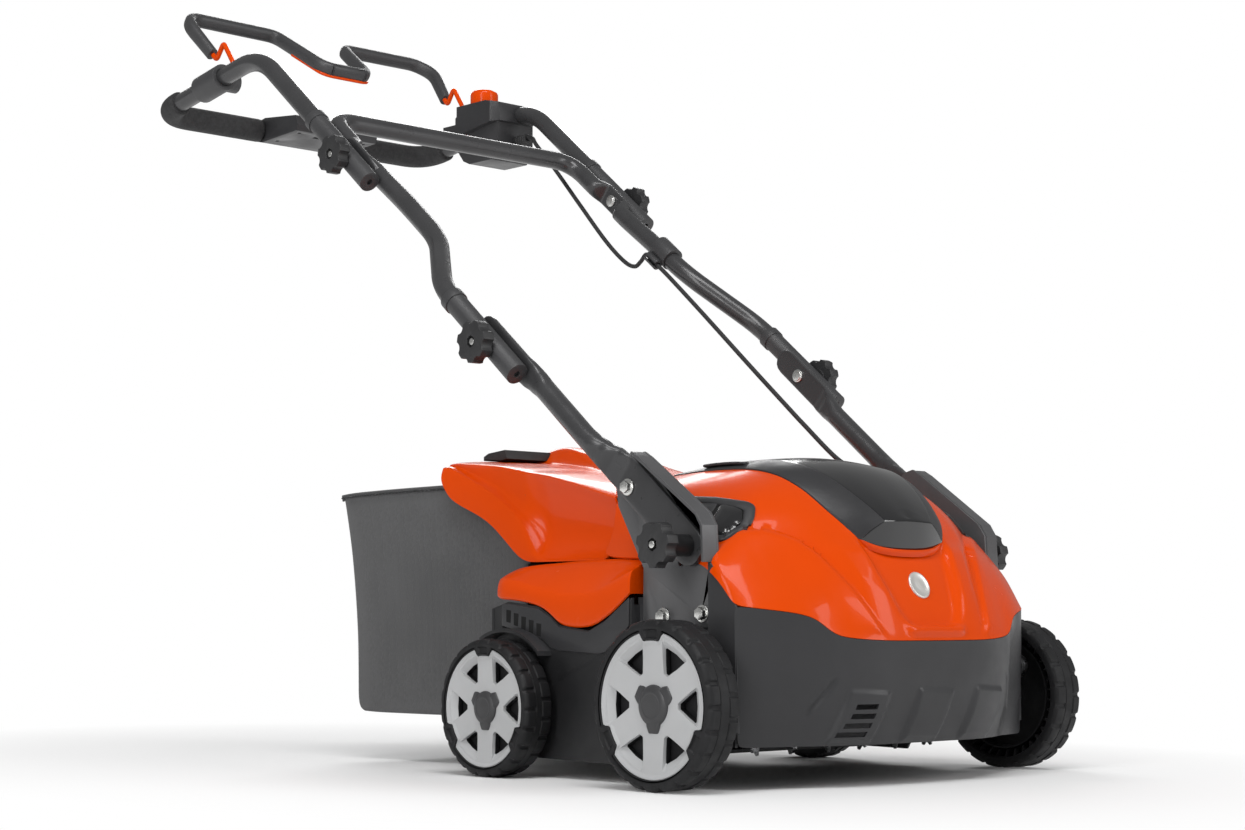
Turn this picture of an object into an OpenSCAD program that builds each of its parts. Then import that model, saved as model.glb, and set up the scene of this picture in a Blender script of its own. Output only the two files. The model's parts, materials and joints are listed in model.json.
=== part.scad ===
// Walk-behind battery lawn dethatcher with a rear collector bag and a three-section folding handle.
// The machine faces -Y, its own left side is +X, and it stands on z = 0.
// Positions along Y inside the modules are counted rearwards from the front axle, and place()
// moves them to the origin, which is below the middle of the machine's overall length.

/* [Layout] */
// Distance of the front axle ahead of the middle of the machine
front_axle_ahead = 489.5; // [480:0.5:495]
// Distance between the front and the rear axle
wheelbase = 302; // [295:1:310]
// Slope of the lower two handle sections above the ground
handle_slope = 39.8; // [38:0.1:41]

/* [Wheels] */
// Radius of the front wheels
front_wheel_r = 90; // [88:0.5:92]
// Width of the front tyres
front_tyre_w = 46; // [42:1:47]
// Distance of the front tyres' outer faces from the mid-plane
front_wheel_x = 315.8; // [315:0.1:320]
// Radius of the rear wheels
rear_wheel_r = 78.8; // [77:0.1:80]
// Width of the rear tyres
rear_tyre_w = 41; // [38:1:42]
// Distance of the rear tyres' outer faces from the mid-plane
rear_wheel_x = 292.7; // [292:0.1:296]
// Radius of all axle stubs
axle_r = 6; // [5:0.5:7]

/* [Rotor and drive] */
// Radius of the circle that the blade tips run on
blade_tip_r = 50; // [46:1:52]
// Number of scarifier blades on the rotor
blade_count = 16; // [12:1:18]
// Pitch radius of the pulley on the rotor
rotor_pulley_r = 38; // [36:1:40]
// Pitch radius of the pulley on the motor
motor_pulley_r = 16; // [14:1:18]

/* [Handle] */
// Radius of the handle tubes
tube_r = 12.5; // [11.5:0.5:13]
// Outer radius of the plastic sleeves on the tube ends
sleeve_r = 13.5; // [13:0.5:13.5]
// Radius of the foam grips
grip_r = 17; // [16:0.5:17.5]
// Radius of the star knobs
knob_r = 25; // [22:1:26]
// Radius of the knob bolts
bolt_r = 4; // [3.5:0.5:4.5]

/* [Collector bag] */
// Half of the width of the bag
bag_half_w = 185; // [175:1:186]
// Length of the bag along its top
bag_len = 378; // [340:1:385]
// Thickness of the bag's wall
bag_wall = 3; // [2:0.5:4]

/* [Hidden] */

orange = [0.93, 0.29, 0.04];
charcoal = [0.20, 0.20, 0.21];
dark = [0.10, 0.10, 0.11];
steel_grey = [0.30, 0.30, 0.31];
silver = [0.78, 0.79, 0.80];
rim_grey = [0.66, 0.67, 0.68];

gap = 0.3;          // clearance between pieces that move past each other
run_fit = 0.05;     // radial clearance of a shaft in its bore
knob_gap = 1.2;     // space of a washer between a star knob and the sleeve it holds
eps = 0.01;
skin = 3;           // thickness of the moulded covers

front_z = front_wheel_r;
rear_z = rear_wheel_r;

// Rotor, motor and belt
rotor = [0, 35, 78];
motor_axis = [0, 40, 190];
chamber_r = 60;
chamber_right = -190;
chamber_left = 196;
pulley_x = -216;
pulley_w = 14;

// Depth adjustment: the cranked front axle turns about this line
depth_pivot = [0, -40, 125];
crank_x = 252;
crank_w = 10;
lever_x = 247;

// Brackets and handle joints
bracket_in = 228.5;
bracket_t = 3.5;
pivot_bolt = [0, 114, 326];
bracket_knob = [0, 22, 259];
slot_angle = 12;
lower_joint = [0, 310, 500.5];
joint_span = 428;
slope_dir = [0, cos(handle_slope), sin(handle_slope)];
slope_up = [0, -sin(handle_slope), cos(handle_slope)];
upper_joint = lower_joint + joint_span * slope_dir;
lower_sleeve_x = 275;
upper_sleeve_x = 243;
leg_x = 217;        // middle legs above their inward bend
leg_top_x = 214;    // and where they pass the upper sleeves
wall = 1.5;         // wall of the steel tubes
sleeve_start = -62;
sleeve_end = 95;
bail_axis = [0, 960, 932];
bail_end_x = 208;
button = [214, 916];
button_r = 21;

// ---------- helpers ----------

function unit(v) = v / norm(v);
function bezier(a, b, c, t) = (1 - t) * (1 - t) * a + 2 * t * (1 - t) * b + t * t * c;
// A path whose inner corners are rounded, starting the bend "cut" before each corner
function rounded(p, cut, n = 6) = [
    for (i = [0 : len(p) - 1])
        each (i == 0 || i == len(p) - 1) ? [p[i]]
            : let (a = p[i] + unit(p[i - 1] - p[i]) * cut, c = p[i] + unit(p[i + 1] - p[i]) * cut)
              [for (k = [0 : n]) bezier(a, p[i], c, k / n)]
];
function flip_x(p) = [for (i = [len(p) - 1 : -1 : 0]) [-p[i].x, p[i].y, p[i].z]];
function tangent(p, i) = unit(p[min(i + 1, len(p) - 1)] - p[max(i - 1, 0)]);
// Closed ring round point i, with half-width a across and b along the "up" direction
function ring(p, i, a, b, up, n) =
    let (t = tangent(p, i), v = unit(up - (up * t) * t), u = cross(v, t))
    [for (k = [0 : n - 1]) p[i] + a * cos(360 * k / n) * u + b * sin(360 * k / n) * v];

// Solid between closed rings of the same number of points, each turning the same way about the run
module loft(rings) {
    n = len(rings[0]);
    last = len(rings) - 1;
    points = [for (r = rings) each r];
    sides = [
        for (i = [0 : last - 1], j = [0 : n - 1], half = [0, 1])
            let (a = i * n + j, b = i * n + (j + 1) % n)
            half == 0 ? [a, a + n, b + n] : [a, b + n, b]
    ];
    caps = [[for (j = [0 : n - 1]) j], [for (j = [n - 1 : -1 : 0]) last * n + j]];
    polyhedron(points = points, faces = concat(sides, caps), convexity = 6);
}

// Tube or bar of oval section along a path; a and b are numbers or one value for each point
module sweep(path, a, b, up = slope_up, sides = 16) {
    loft([
        for (i = [0 : len(path) - 1])
            ring(path, i, is_num(a) ? a : a[i], is_num(b) ? b : b[i], up, sides)
    ]);
}

// Frame whose Z axis runs up the slope of the handle, at point p
module up_slope(p) { translate(p) rotate([handle_slope - 90, 0, 0]) children(); }

// Tube along a path, open at both ends; a and b are its outer half-width and half-height
module tube(path, a, b, up = slope_up, sides = 16) {
    last = len(path) - 1;
    inner = concat([path[0] + unit(path[0] - path[1])], [for (i = [1 : last - 1]) path[i]],
                   [path[last] + unit(path[last] - path[last - 1])]);
    difference() {
        sweep(path, a, b, up, sides);
        sweep(inner, is_num(a) ? a - wall : [for (v = a) v - wall],
              is_num(b) ? b - wall : [for (v = b) v - wall], up, sides);
    }
}

module place() { translate([0, -front_axle_ahead, 0]) children(); }
module both() { children(); mirror([1, 0, 0]) children(); }
// Round bar along X between x0 and x1, at the height and depth of point p
module bar_x(p, x0, x1, r, fn = 64) {
    translate([x0, p.y, p.z]) rotate([0, 90, 0]) cylinder(h = x1 - x0, r = r, $fn = fn);
}
// Round bar along Y from y0 to y1 counted from point p
module bar_y(p, y0, y1, r, fn = 64) {
    translate([p.x, p.y + y1, p.z]) rotate([90, 0, 0]) cylinder(h = y1 - y0, r = r, $fn = fn);
}
// Plate with its outline in the YZ plane, between x0 and x1
module plate_x(x0, x1, outline) {
    translate([x0, 0, 0]) rotate([90, 0, 90]) linear_extrude(x1 - x0) polygon(outline);
}
module box(low, high) { translate(low) cube(high - low); }
// Closed section in a plane of constant y, from the outline's left half
function section(y, half) = concat(
    [for (p = half) [-p.x, y, p.y]],
    [for (i = [len(half) - 1 : -1 : 0]) if (half[i].x > eps) [half[i].x, y, half[i].y]]
);

// ---------- deck ----------

// Height of the joint between the orange hood and the dark skirt, seen from the front
part_line = [[-260, 196], [-190, 181], [-150, 166], [-118, 157], [118, 157], [150, 166],
             [190, 181], [260, 196]];

// Half-outline of the hood at one y: the base flare, the flank, the top edge and the crown
function hood_half(base, flare_z, flank, flank_z, top, top_z, crown_z) =
    [[base, 140], [base, flare_z], [flank, flank_z], [top, top_z], [top * 0.5, crown_z - 3],
     [0, crown_z]];

module hood_solid(inset) {
    s = inset;
    rows = [
        [-129 + s, hood_half(95, 154, 85, 158, 60, 161, 163)],
        [-118 + s, hood_half(176, 172, 150, 182, 90, 188, 190)],
        [-100 + s, hood_half(222, 190, 172, 212, 100, 220, 224)],
        [-80 + s, hood_half(240, 205, 186, 236, 106, 254, 258)],
        [-50 + s, hood_half(245, 216, 193, 262, 118, 298, 304)],
        [-18, hood_half(245, 234, 197, 286, 126, 328, 336)],
        [-16, hood_half(221, 234, 197, 287, 126, 329, 337)],
        [40, hood_half(221, 244, 202, 300, 130, 343, 352)],
        [110, hood_half(221, 246, 200, 302, 132, 344, 352)],
        [190, hood_half(209, 246, 192, 300, 130, 332, 340)]
    ];
    loft([
        for (r = rows)
            section(r[0], [for (p = r[1]) [max(p.x - s, 0), p.y == 140 ? 140 - s : p.y - s]])
    ]);
}

module hood() {
    color(orange) place() difference() {
        hood_solid(0);
        translate([0, eps, 0]) hood_solid(skin);
        // open behind, and open below the joint with the skirt and the housing
        translate([0, -16, 0]) rotate([90, 0, 0]) linear_extrude(140)
            polygon(concat([[-260, 100]], part_line, [[260, 100]]));
        box([-260, -16.5, 100], [260, 200, 205]);
        box([-200, 186, 200], [200, 195, 331]);
        // opening that the lid and its hinge close
        lid_room();
        both() bar_x([0, 176, 348], 38, 62, 6, 48);
        // relief over the belt cover's upper end
        box([-222.5, 8, 200], [-217, 72, 216]);
        // room beside the flanks for the shoulder covers
        both() box([206 - gap, 108 - gap, 190], [260, 200, 248.5]);
        // side openings for the window frames
        both() plate_x(180, 240, [[-12, 262], [-14, 284], [-4, 304], [80, 312], [80, 262]]);
        // cable gland hole
        translate([cable_deck.x, cable_deck.y, 310]) cylinder(h = 60, r = 7.1, $fn = 48);
    }
}

module window_frames() {
    color(charcoal) place() both() difference() {
        plate_x(196, 207, [[-11, 263], [-13, 284], [-3, 303], [79, 311], [79, 263]]);
        plate_x(201, 208, [[-3, 270], [-4, 282], [3, 296], [72, 303], [72, 270]]);
    }
}

function skirt_ring(z, front, side, s) =
    let (h = [[side, -55], [side, front + 49], [side - 22, front + 31], [side - 68, front + 13],
              [95, front + 1], [40, front]])
    concat([for (p = h) [s - p.x, p.y + s, z]],
           [for (i = [5 : -1 : 0]) [h[i].x - s, h[i].y + s, z]]);

module front_skirt() {
    color(charcoal) place() difference() {
        loft([skirt_ring(44, -107, 240, 0), skirt_ring(118, -127, 244, 0),
              skirt_ring(205, -130, 245, 0)]);
        loft([skirt_ring(43, -107, 240, skin), skirt_ring(118, -127, 244, skin),
              skirt_ring(206, -130, 245, skin)]);
        rotate([90, 0, 0]) translate([0, 0, -10]) linear_extrude(160)
            polygon(concat([[-260, 220]], part_line, [[260, 220]]));
        // four louvre slots on the right
        for (k = [0 : 3]) box([-148 + 5 * k, -140, 60 + 8 * k], [-119 + 5 * k, -80, 64 + 8 * k]);
    }
}

// Outline of the housing's side, seen from the side
housing_side = [
    [-52, 46], [-52, 188], [-44, 197], [-16, 204], [105, 204], [150, 178], [176, 167], [226, 173], [240, 183],
    [262, 194], [316, 200], [345, 192], [345, 100], [320, 62], [262, 22], [118, 20], [102, 46]
];

module lower_housing() {
    deck_y = 105;
    color(charcoal) place() difference() {
        union() {
            // outer side walls, stepped in behind the brackets
            both() plate_x(237.6, 241.6, housing_side);
            both() plate_x(224, bracket_in, [[-16, 156], [-16, 204], [109, 204], [109, 156]]);
            both() box([224, -24, 160], [241.6, -19, 196]);
            both() box([224, deck_y + 1, 160], [241.6, deck_y + 5, 196]);
            both() box([224, -24, 156], [241.6, deck_y + 5, 160]);
            // rotor chamber: end walls and roof
            plate_x(chamber_right - 8, chamber_right, [[-30, 46], [-30, 120], [-5, 145], [75, 145],
                                                       [112, 120], [112, 46]]);
            plate_x(chamber_left, chamber_left + 8, [[-30, 46], [-30, 120], [-5, 145], [75, 145],
                                                     [112, 120], [112, 46]]);
            bar_x(rotor, chamber_right, chamber_left, chamber_r + 4, 96);
            // pad under the motor's feet
            box([-112, 18, 136], [2, 62, 145]);
            // cross walls that tie the side walls to the chamber
            box([-242, -52, 60], [242, -48, 150]);
            both() box([100, -50, 80], [104, -20, 130]);
            box([-242, 108, 30], [-190, 112, 160]);
            box([196, 108, 30], [242, 112, 160]);
            // discharge chute: floor, roof and cheeks
            plate_x(-180, 180, [[98, 28], [240, 94], [343, 96], [343, 100], [238, 98], [98, 32]]);
            plate_x(-180, 180, [[70, 134], [343, 238], [343, 242], [70, 139]]);
            both() plate_x(176, 180, [[98, 28], [240, 94], [343, 96], [343, 242], [90, 146]]);
            // rear wall round the chute's mouth
            box([-242, 341, 100], [242, 345, 192]);
            box([-190, 341, 94], [190, 345, 246]);
            // wheel arch lips over the rear wheels
            both() intersection() {
                difference() {
                    bar_x([0, wheelbase, rear_z], 240, 262, 90, 96);
                    bar_x([0, wheelbase, rear_z], 239, 263, 86, 96);
                }
                box([239, 240, 110], [263, 344, 180]);
            }
        }
        // inside of the rotor chamber, open below and towards the chute
        bar_x(rotor, chamber_right, chamber_left, chamber_r, 96);
        box([chamber_right, -20, 0], [chamber_left, 96, 60]);
        plate_x(-176, 176, [[80, 36], [100, 34], [238, 98.5], [344, 100.5], [346, 237], [82, 134]]);
        // seats of the rotor bearings
        bar_x(rotor, chamber_right - 9, chamber_right + 1, 16 + run_fit, 96);
        bar_x(rotor, chamber_left - 1, chamber_left + 9, 16 + run_fit, 96);
        // bores for the depth axle and the rear axle
        bar_x(depth_pivot, -250, 250, axle_r + run_fit, 64);
        bar_x([0, wheelbase, rear_z], -250, 250, axle_r + run_fit, 64);
        // the outer walls are cut away where the brackets stand
        both() plate_x(230, 243, [[-19, 160], [-19, 210], [106, 210], [106, 160]]);
        // cooling vents above the rear wheels
        both() for (k = [0 : 4]) box([230, 258 + 15 * k, 170], [250, 266 + 15 * k, 190]);
        // clearance for the bracket's bolts
        both() for (p = deck_bolt_spots) bar_x([0, p.x, p.y], 220, 230, bolt_r + run_fit, 48);
    }
}

// Solid that a shoulder cover is cut from, as seen from the side and from behind
module shoulder_solid(low, high, inner_x, outer_x, drop) {
    intersection() {
        plate_x(inner_x, outer_x, [
            [low, 208 - 20 * drop], [low, 260], [high, 260], [high, 204 - 20 * drop],
            [316, 202 - 20 * drop], [262, 196 - 20 * drop], [240, 185 - 20 * drop],
            [226, 175 - 20 * drop], [176, 169 - 20 * drop], [151, 179 - 20 * drop]
        ]);
        translate([0, high + 1, 0]) rotate([90, 0, 0]) linear_extrude(high - low + 2)
            polygon([[inner_x - 1, 140], [inner_x - 1, 248 - skin * drop], [222 - drop, 244 - skin * drop],
                     [outer_x + 1, 221 - skin * drop], [outer_x + 1, 140]]);
    }
}

module shoulder_covers() {
    color(orange) place() both() difference() {
        shoulder_solid(108, 340, 206, 243, 0);
        shoulder_solid(111, 337, 205, 240, 1);
    }
}

// ---------- drive ----------

module battery_bay() {
    color(dark) place() difference() {
        box([-66, -40, 246], [66, 132, 326]);
        box([-62, -36, 250], [62, 128, 327]);
        box([-20, 60, 245], [20, 100, 251]);
    }
}

module battery() {
    color(charcoal) place() {
        box([-58, -32, 250.2], [58, 124, 312]);
        box([-52, -28, 311], [52, 120, 318]);
        box([-14, 40, 317], [14, 60, 321]);
    }
}

module motor() {
    can_r = 41;
    color(steel_grey) place() difference() {
        union() {
            bar_x(motor_axis, -120, 10, can_r, 96);
            bar_x(motor_axis, 9, 18, 20, 64);
            // feet on the chamber's roof and the end flange towards the belt
            box([-110, 20, 145], [-90, 60, 175]);
            box([-20, 20, 145], [0, 60, 175]);
            bar_x(motor_axis, -128, -119, 30, 64);
        }
        bar_x(motor_axis, -130, -60, 6 + run_fit, 64);
    }
}

module drive_pulley() {
    color(silver) place() union() {
        bar_x(motor_axis, -198, -62, 6, 64);
        bar_x(motor_axis, pulley_x, pulley_x + pulley_w, motor_pulley_r, 64);
        bar_x(motor_axis, pulley_x + pulley_w - eps, -196, 9, 64);
    }
}

module rotor_pulley() {
    color(silver) place() difference() {
        bar_x(rotor, pulley_x, pulley_x + pulley_w, rotor_pulley_r, 96);
        bar_x(rotor, pulley_x - 1, pulley_x + pulley_w + 1, 8, 64);
        for (k = [0 : 4]) translate(rotor) rotate([72 * k, 0, 0])
            bar_x([0, 0, 22], pulley_x - 1, pulley_x + pulley_w + 1, 7, 48);
    }
}

module belt_outline(extra) {
    hull() {
        translate([rotor.y, rotor.z]) circle(r = rotor_pulley_r + extra, $fn = 48);
        translate([motor_axis.y, motor_axis.z]) circle(r = motor_pulley_r + extra, $fn = 48);
    }
}

module drive_belt() {
    color(dark) place() translate([pulley_x + 2, 0, 0]) rotate([90, 0, 90])
        linear_extrude(pulley_w - 4) difference() {
            belt_outline(3.2);
            belt_outline(0.5);
        }
}

module belt_cover() {
    color(charcoal) place() difference() {
        translate([-222, 0, 0]) rotate([90, 0, 90]) linear_extrude(22) belt_outline(8);
        translate([-220, 0, 0]) rotate([90, 0, 90]) linear_extrude(22) belt_outline(5.5);
    }
}

module rotor_shaft() {
    color(steel_grey) place() union() {
        bar_x(rotor, -216, 206, 8, 64);
        bar_x(rotor, -186, 190, 20, 96);
    }
}

// One blade: a disc with four pointed teeth
module blade_outline() {
    difference() {
        union() {
            circle(r = 30, $fn = 48);
            for (k = [0 : 3]) rotate(90 * k)
                polygon([[26, -14], [blade_tip_r, -2], [blade_tip_r, 1], [24, 12]]);
        }
        circle(r = 20 + run_fit, $fn = 96);
    }
}

module scarifier_blades() {
    pitch = 366 / (blade_count - 1);
    color(silver) place() for (k = [0 : blade_count - 1])
        translate([-182 + pitch * k, rotor.y, rotor.z]) rotate([90, 0, 90]) rotate(37 * k)
            linear_extrude(2) blade_outline();
}

module rotor_bearings() {
    color(silver) place() {
        difference() {
            bar_x(rotor, chamber_right - 8, chamber_right - 1, 16, 96);
            bar_x(rotor, chamber_right - 9, chamber_right, 8 + run_fit, 64);
        }
        difference() {
            bar_x(rotor, chamber_left + 1, chamber_left + 8, 16, 96);
            bar_x(rotor, chamber_left, chamber_left + 9, 8 + run_fit, 64);
        }
    }
}

// ---------- axles and wheels ----------

module rear_axle() {
    color(steel_grey) place()
        bar_x([0, wheelbase, rear_z], -rear_wheel_x + 9, rear_wheel_x - 9, axle_r, 64);
}

// Cranked front axle: one cross bar, an arm at each end and the two wheel stubs
module depth_axle() {
    hub = [0, 0, front_z];
    color(steel_grey) place() {
        bar_x(depth_pivot, -crank_x - 1, crank_x + 1, axle_r, 64);
        both() {
            bar_x(depth_pivot, crank_x, crank_x + crank_w, 12, 64);
            bar_x(hub, crank_x, crank_x + crank_w, 12, 64);
            plate_x(crank_x, crank_x + crank_w, [[-48, 116], [-8, 81], [8, 99], [-32, 134]]);
            bar_x(hub, crank_x + crank_w - 1, front_wheel_x - 9, axle_r, 64);
        }
    }
}

module depth_lever() {
    grip = [0, 165, 72];
    d = unit(grip - depth_pivot);
    n = [0, -d.z, d.y];
    a = depth_pivot + 14 * d;
    b = grip;
    color(charcoal) place() difference() {
        union() {
            bar_x(depth_pivot, lever_x, lever_x + 4.6, 14, 64);
            plate_x(lever_x, lever_x + 4.6, [
                [a.y + 7 * n.y, a.z + 7 * n.z], [a.y - 7 * n.y, a.z - 7 * n.z],
                [b.y - 5 * n.y, b.z - 5 * n.z], [b.y + 5 * n.y, b.z + 5 * n.z]
            ]);
            bar_x(grip, lever_x, 290, 11, 64);
        }
        bar_x(depth_pivot, lever_x - 1, lever_x + 6, axle_r + run_fit, 64);
    }
}

// Wheel in black plastic: tread band, web, hub and the three-lobed boss that shows in the middle
module wheel(r, w, out_x, hub) {
    band = 0.86 * r - 2;
    web = out_x - 16;
    boss = out_x - 3;
    color(dark) place() difference() {
        union() {
            difference() {
                union() {
                    bar_x(hub, out_x - w, out_x - 3, r, 128);
                    bar_x(hub, out_x - w, out_x, r - 4, 128);
                }
                bar_x(hub, out_x - w - 1, out_x + 1, band, 128);
            }
            bar_x(hub, web - 3, web, band + 1, 128);
            bar_x(hub, out_x - w + 3, boss, 0.19 * r, 64);
            for (k = [0 : 2]) translate([0, hub.y, hub.z]) rotate([120 * k, 0, 0])
                plate_x(web - 1, boss, [[-0.09 * r, 0], [0.09 * r, 0], [0.07 * r, -0.3 * r],
                                        [-0.07 * r, -0.3 * r]]);
            // stiffening ribs on the inner side
            for (k = [0 : 11]) translate([0, hub.y, hub.z]) rotate([30 * k, 0, 0])
                plate_x(out_x - w + 8, web - 2, [[-1, 0.16 * r], [1, 0.16 * r], [1, band + 1],
                                                 [-1, band + 1]]);
        }
        bar_x(hub, out_x - w - 1, out_x - 8, axle_r + run_fit, 64);
        // tread grooves in both shoulders
        for (k = [0 : 23]) translate([0, hub.y, hub.z]) rotate([15 * k, 0, 0]) {
            box([out_x - 14, -3, r - 2.5], [out_x + 1, 3, r + 2]);
            rotate([7.5, 0, 0]) box([out_x - w - 1, -3, r - 2.5], [out_x - w + 12, 3, r + 2]);
        }
    }
}

// Light grey trim disc snapped into the wheel's outer side, with six windows
module trim(r, out_x, hub) {
    edge = 0.86 * r - 2.3;
    back = out_x - 15.5;
    face = out_x - 6;
    inner = 0.40 * r;
    outer = 0.74 * r;
    color(rim_grey) place() difference() {
        bar_x(hub, back, out_x - 2, edge, 128);
        bar_x(hub, face, out_x, edge - 4, 128);
        bar_x(hub, back - 1, face + 1, 0.19 * r + gap, 64);
        for (k = [0 : 2]) translate([0, hub.y, hub.z]) rotate([120 * k, 0, 0])
            plate_x(back - 1, face + 1, [[-0.09 * r - gap, 0], [0.09 * r + gap, 0],
                [0.07 * r + gap, -0.3 * r - gap], [-0.07 * r - gap, -0.3 * r - gap]]);
        for (k = [0 : 5]) translate([0, hub.y, hub.z]) rotate([60 * k + 30, 0, 0])
            plate_x(back - 1, face + 1, [
                [-0.05 * r, inner], [0.05 * r, inner], [0.20 * r, outer - 0.05 * r],
                [0.12 * r, outer], [-0.12 * r, outer], [-0.20 * r, outer - 0.05 * r]
            ]);
    }
}

// ---------- brackets and lower handle ----------

deck_bolt_spots = [[5, 186], [65, 183]];

module bracket() {
    arm = norm([bracket_knob.y - pivot_bolt.y, bracket_knob.z - pivot_bolt.z]);
    rest = atan2(bracket_knob.z - pivot_bolt.z, bracket_knob.y - pivot_bolt.y);
    color(steel_grey) place() difference() {
        union() {
            // plate against the housing's side
            plate_x(bracket_in, bracket_in + bracket_t, [
                [-14, 178], [-8, 171], [92, 171], [98, 178], [97, 236], [138, 306], [141, 330],
                [128, 346], [108, 362], [96, 365], [84, 358], [-6, 294], [-15, 280], [-17, 240],
                [-14, 230]
            ]);
            // flange folded outwards along the front edge
            plate_x(bracket_in + 1, bracket_in + 24, [
                [-16.9, 240.5], [-14.9, 279.8], [-5.9, 293.8], [84.1, 357.8], [95.5, 364.2],
                [97.5, 361.5], [86, 354.6], [-4, 291], [-11.5, 279], [-13.5, 240.5]
            ]);
        }
        bar_x(pivot_bolt, bracket_in - 1, bracket_in + 5, bolt_r + run_fit, 48);
        // arc slot that the knob bolt slides in
        translate([bracket_in - 1, pivot_bolt.y, pivot_bolt.z]) rotate([90, 0, 90])
            linear_extrude(bracket_t + 2) {
                for (k = [0 : 1]) rotate(rest + slot_angle * k) translate([arm, 0])
                    circle(r = bolt_r + 1.4 * gap, $fn = 48);
                intersection() {
                    difference() {
                        circle(r = arm + bolt_r + gap, $fn = 128);
                        circle(r = arm - bolt_r - gap, $fn = 128);
                    }
                    polygon([[0, 0], 2 * arm * [cos(rest), sin(rest)],
                             2 * arm * [cos(rest + slot_angle), sin(rest + slot_angle)]]);
                }
            }
        for (p = deck_bolt_spots) bar_x([0, p.x, p.y], bracket_in - 1, bracket_in + 5,
                                        bolt_r + run_fit, 48);
    }
}
module bracket_left() { bracket(); }
module bracket_right() { mirror([1, 0, 0]) bracket(); }

// Hex flange bolt along X: shank inwards from the head's face
module hex_bolt(p, face, shank) {
    bar_x(p, face - shank, face + 1, bolt_r, 48);
    bar_x(p, face, face + 1.5, 9.5, 48);
    translate([face + 1, p.y, p.z]) rotate([0, 90, 0]) cylinder(h = 6, r = 7, $fn = 6);
}

module deck_bolts() {
    color(silver) place() both() {
        for (p = deck_bolt_spots) hex_bolt([0, p.x, p.y], bracket_in + bracket_t, 8);
        hex_bolt(pivot_bolt, bracket_in + bracket_t + 7.6, 14);
    }
}

tube_plate_x = bracket_in + bracket_t + gap;
tube_plate_t = 6.8;
plate_mid = tube_plate_x + tube_plate_t / 2;
tube_line = unit(lower_joint - bracket_knob);
tube_len = norm(lower_joint - bracket_knob);
// One row for each station along the lower tube: distance from the bracket knob, x of the middle,
// half-thickness across and half-height
lower_tube_rows = [
    [-22, plate_mid, 3.4, 7], [-16, plate_mid, 3.4, 16], [-6, plate_mid, 3.4, 21.5],
    [8, plate_mid, 3.4, 22], [108, plate_mid, 3.4, 22], [128, plate_mid, 3.6, 21.5],
    [146, plate_mid + 3, 6, 19], [164, plate_mid + 9, 10, 15.5], [182, plate_mid + 13, 12, 13.2],
    [198, 250, tube_r, tube_r], [tube_len - 92, 250, tube_r, tube_r],
    [tube_len - 74, 251, 9.5, 14], [tube_len - 60, 254, 6, 15.5], [tube_len - 46, 257, 3.6, 16],
    [tube_len + 30, 257.6, 3.3, 16], [tube_len + 41, 257.6, 3.3, 14], [tube_len + 46, 257.6, 3, 9]
];

module lower_tube() {
    color(steel_grey) place() difference() {
        tube([for (r = lower_tube_rows) bracket_knob + r[0] * tube_line + [r[1], 0, 0]],
             [for (r = lower_tube_rows) r[2]], [for (r = lower_tube_rows) r[3]]);
        bar_x(pivot_bolt, 225, 245, bolt_r + run_fit, 48);
        bar_x(bracket_knob, 225, 245, bolt_r + run_fit, 48);
        bar_x(lower_joint, 250, 265, bolt_r + run_fit, 48);
    }
}
module lower_tube_left() { lower_tube(); }
module lower_tube_right() { mirror([1, 0, 0]) lower_tube(); }

// Bolt with a low domed head on the inner side
module joint_bolt(p, head_x, head_h, tip_x) {
    bar_x(p, head_x, tip_x, bolt_r, 48);
    bar_x(p, head_x, head_x + head_h - 1, 6.5, 48);
    bar_x(p, head_x + 1, head_x + head_h, 8.5, 48);
}

module lower_bolts() {
    color(silver) place() both() {
        joint_bolt(bracket_knob, bracket_in - 5, 4.7, 292);
        joint_bolt(lower_joint, 250.4, 3.6, 304.6);
    }
}

// Star knob on a joint bolt, between x0 and x1
module star_knob(p, x0, x1) {
    star_t = 15.5;
    color(charcoal) place() difference() {
        union() {
            bar_x(p, x0, x1 - 2, 12, 64);
            difference() {
                bar_x(p, x1 - star_t, x1, knob_r, 96);
                for (k = [0 : 6]) translate([0, p.y, p.z]) rotate([360 * k / 7, 0, 0])
                    bar_x([0, 0, knob_r + 4], x0 - 1, x1 + 1, 8, 48);
            }
        }
        bar_x(p, x0 - 1, x1 + 1, bolt_r + run_fit, 48);
        translate([x1 - 6, p.y, p.z]) rotate([0, 90, 0]) cylinder(h = 7, r = 7.5, $fn = 6);
    }
}
module knob_bracket_left() { star_knob(bracket_knob, tube_plate_x + tube_plate_t + gap, 291); }
module knob_bracket_right() { mirror([1, 0, 0]) knob_bracket_left(); }
module knob_lower_left() { star_knob(lower_joint, lower_sleeve_x + sleeve_r + knob_gap, 306); }
module knob_lower_right() { mirror([1, 0, 0]) knob_lower_left(); }
module knob_upper_left() { star_knob(upper_joint, upper_sleeve_x + sleeve_r + knob_gap, 273); }
module knob_upper_right() { mirror([1, 0, 0]) knob_upper_left(); }

// ---------- middle and upper handle ----------

function on_slope(p, s, x, up = 0) = p + s * slope_dir + up * slope_up + [x, 0, 0];

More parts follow.
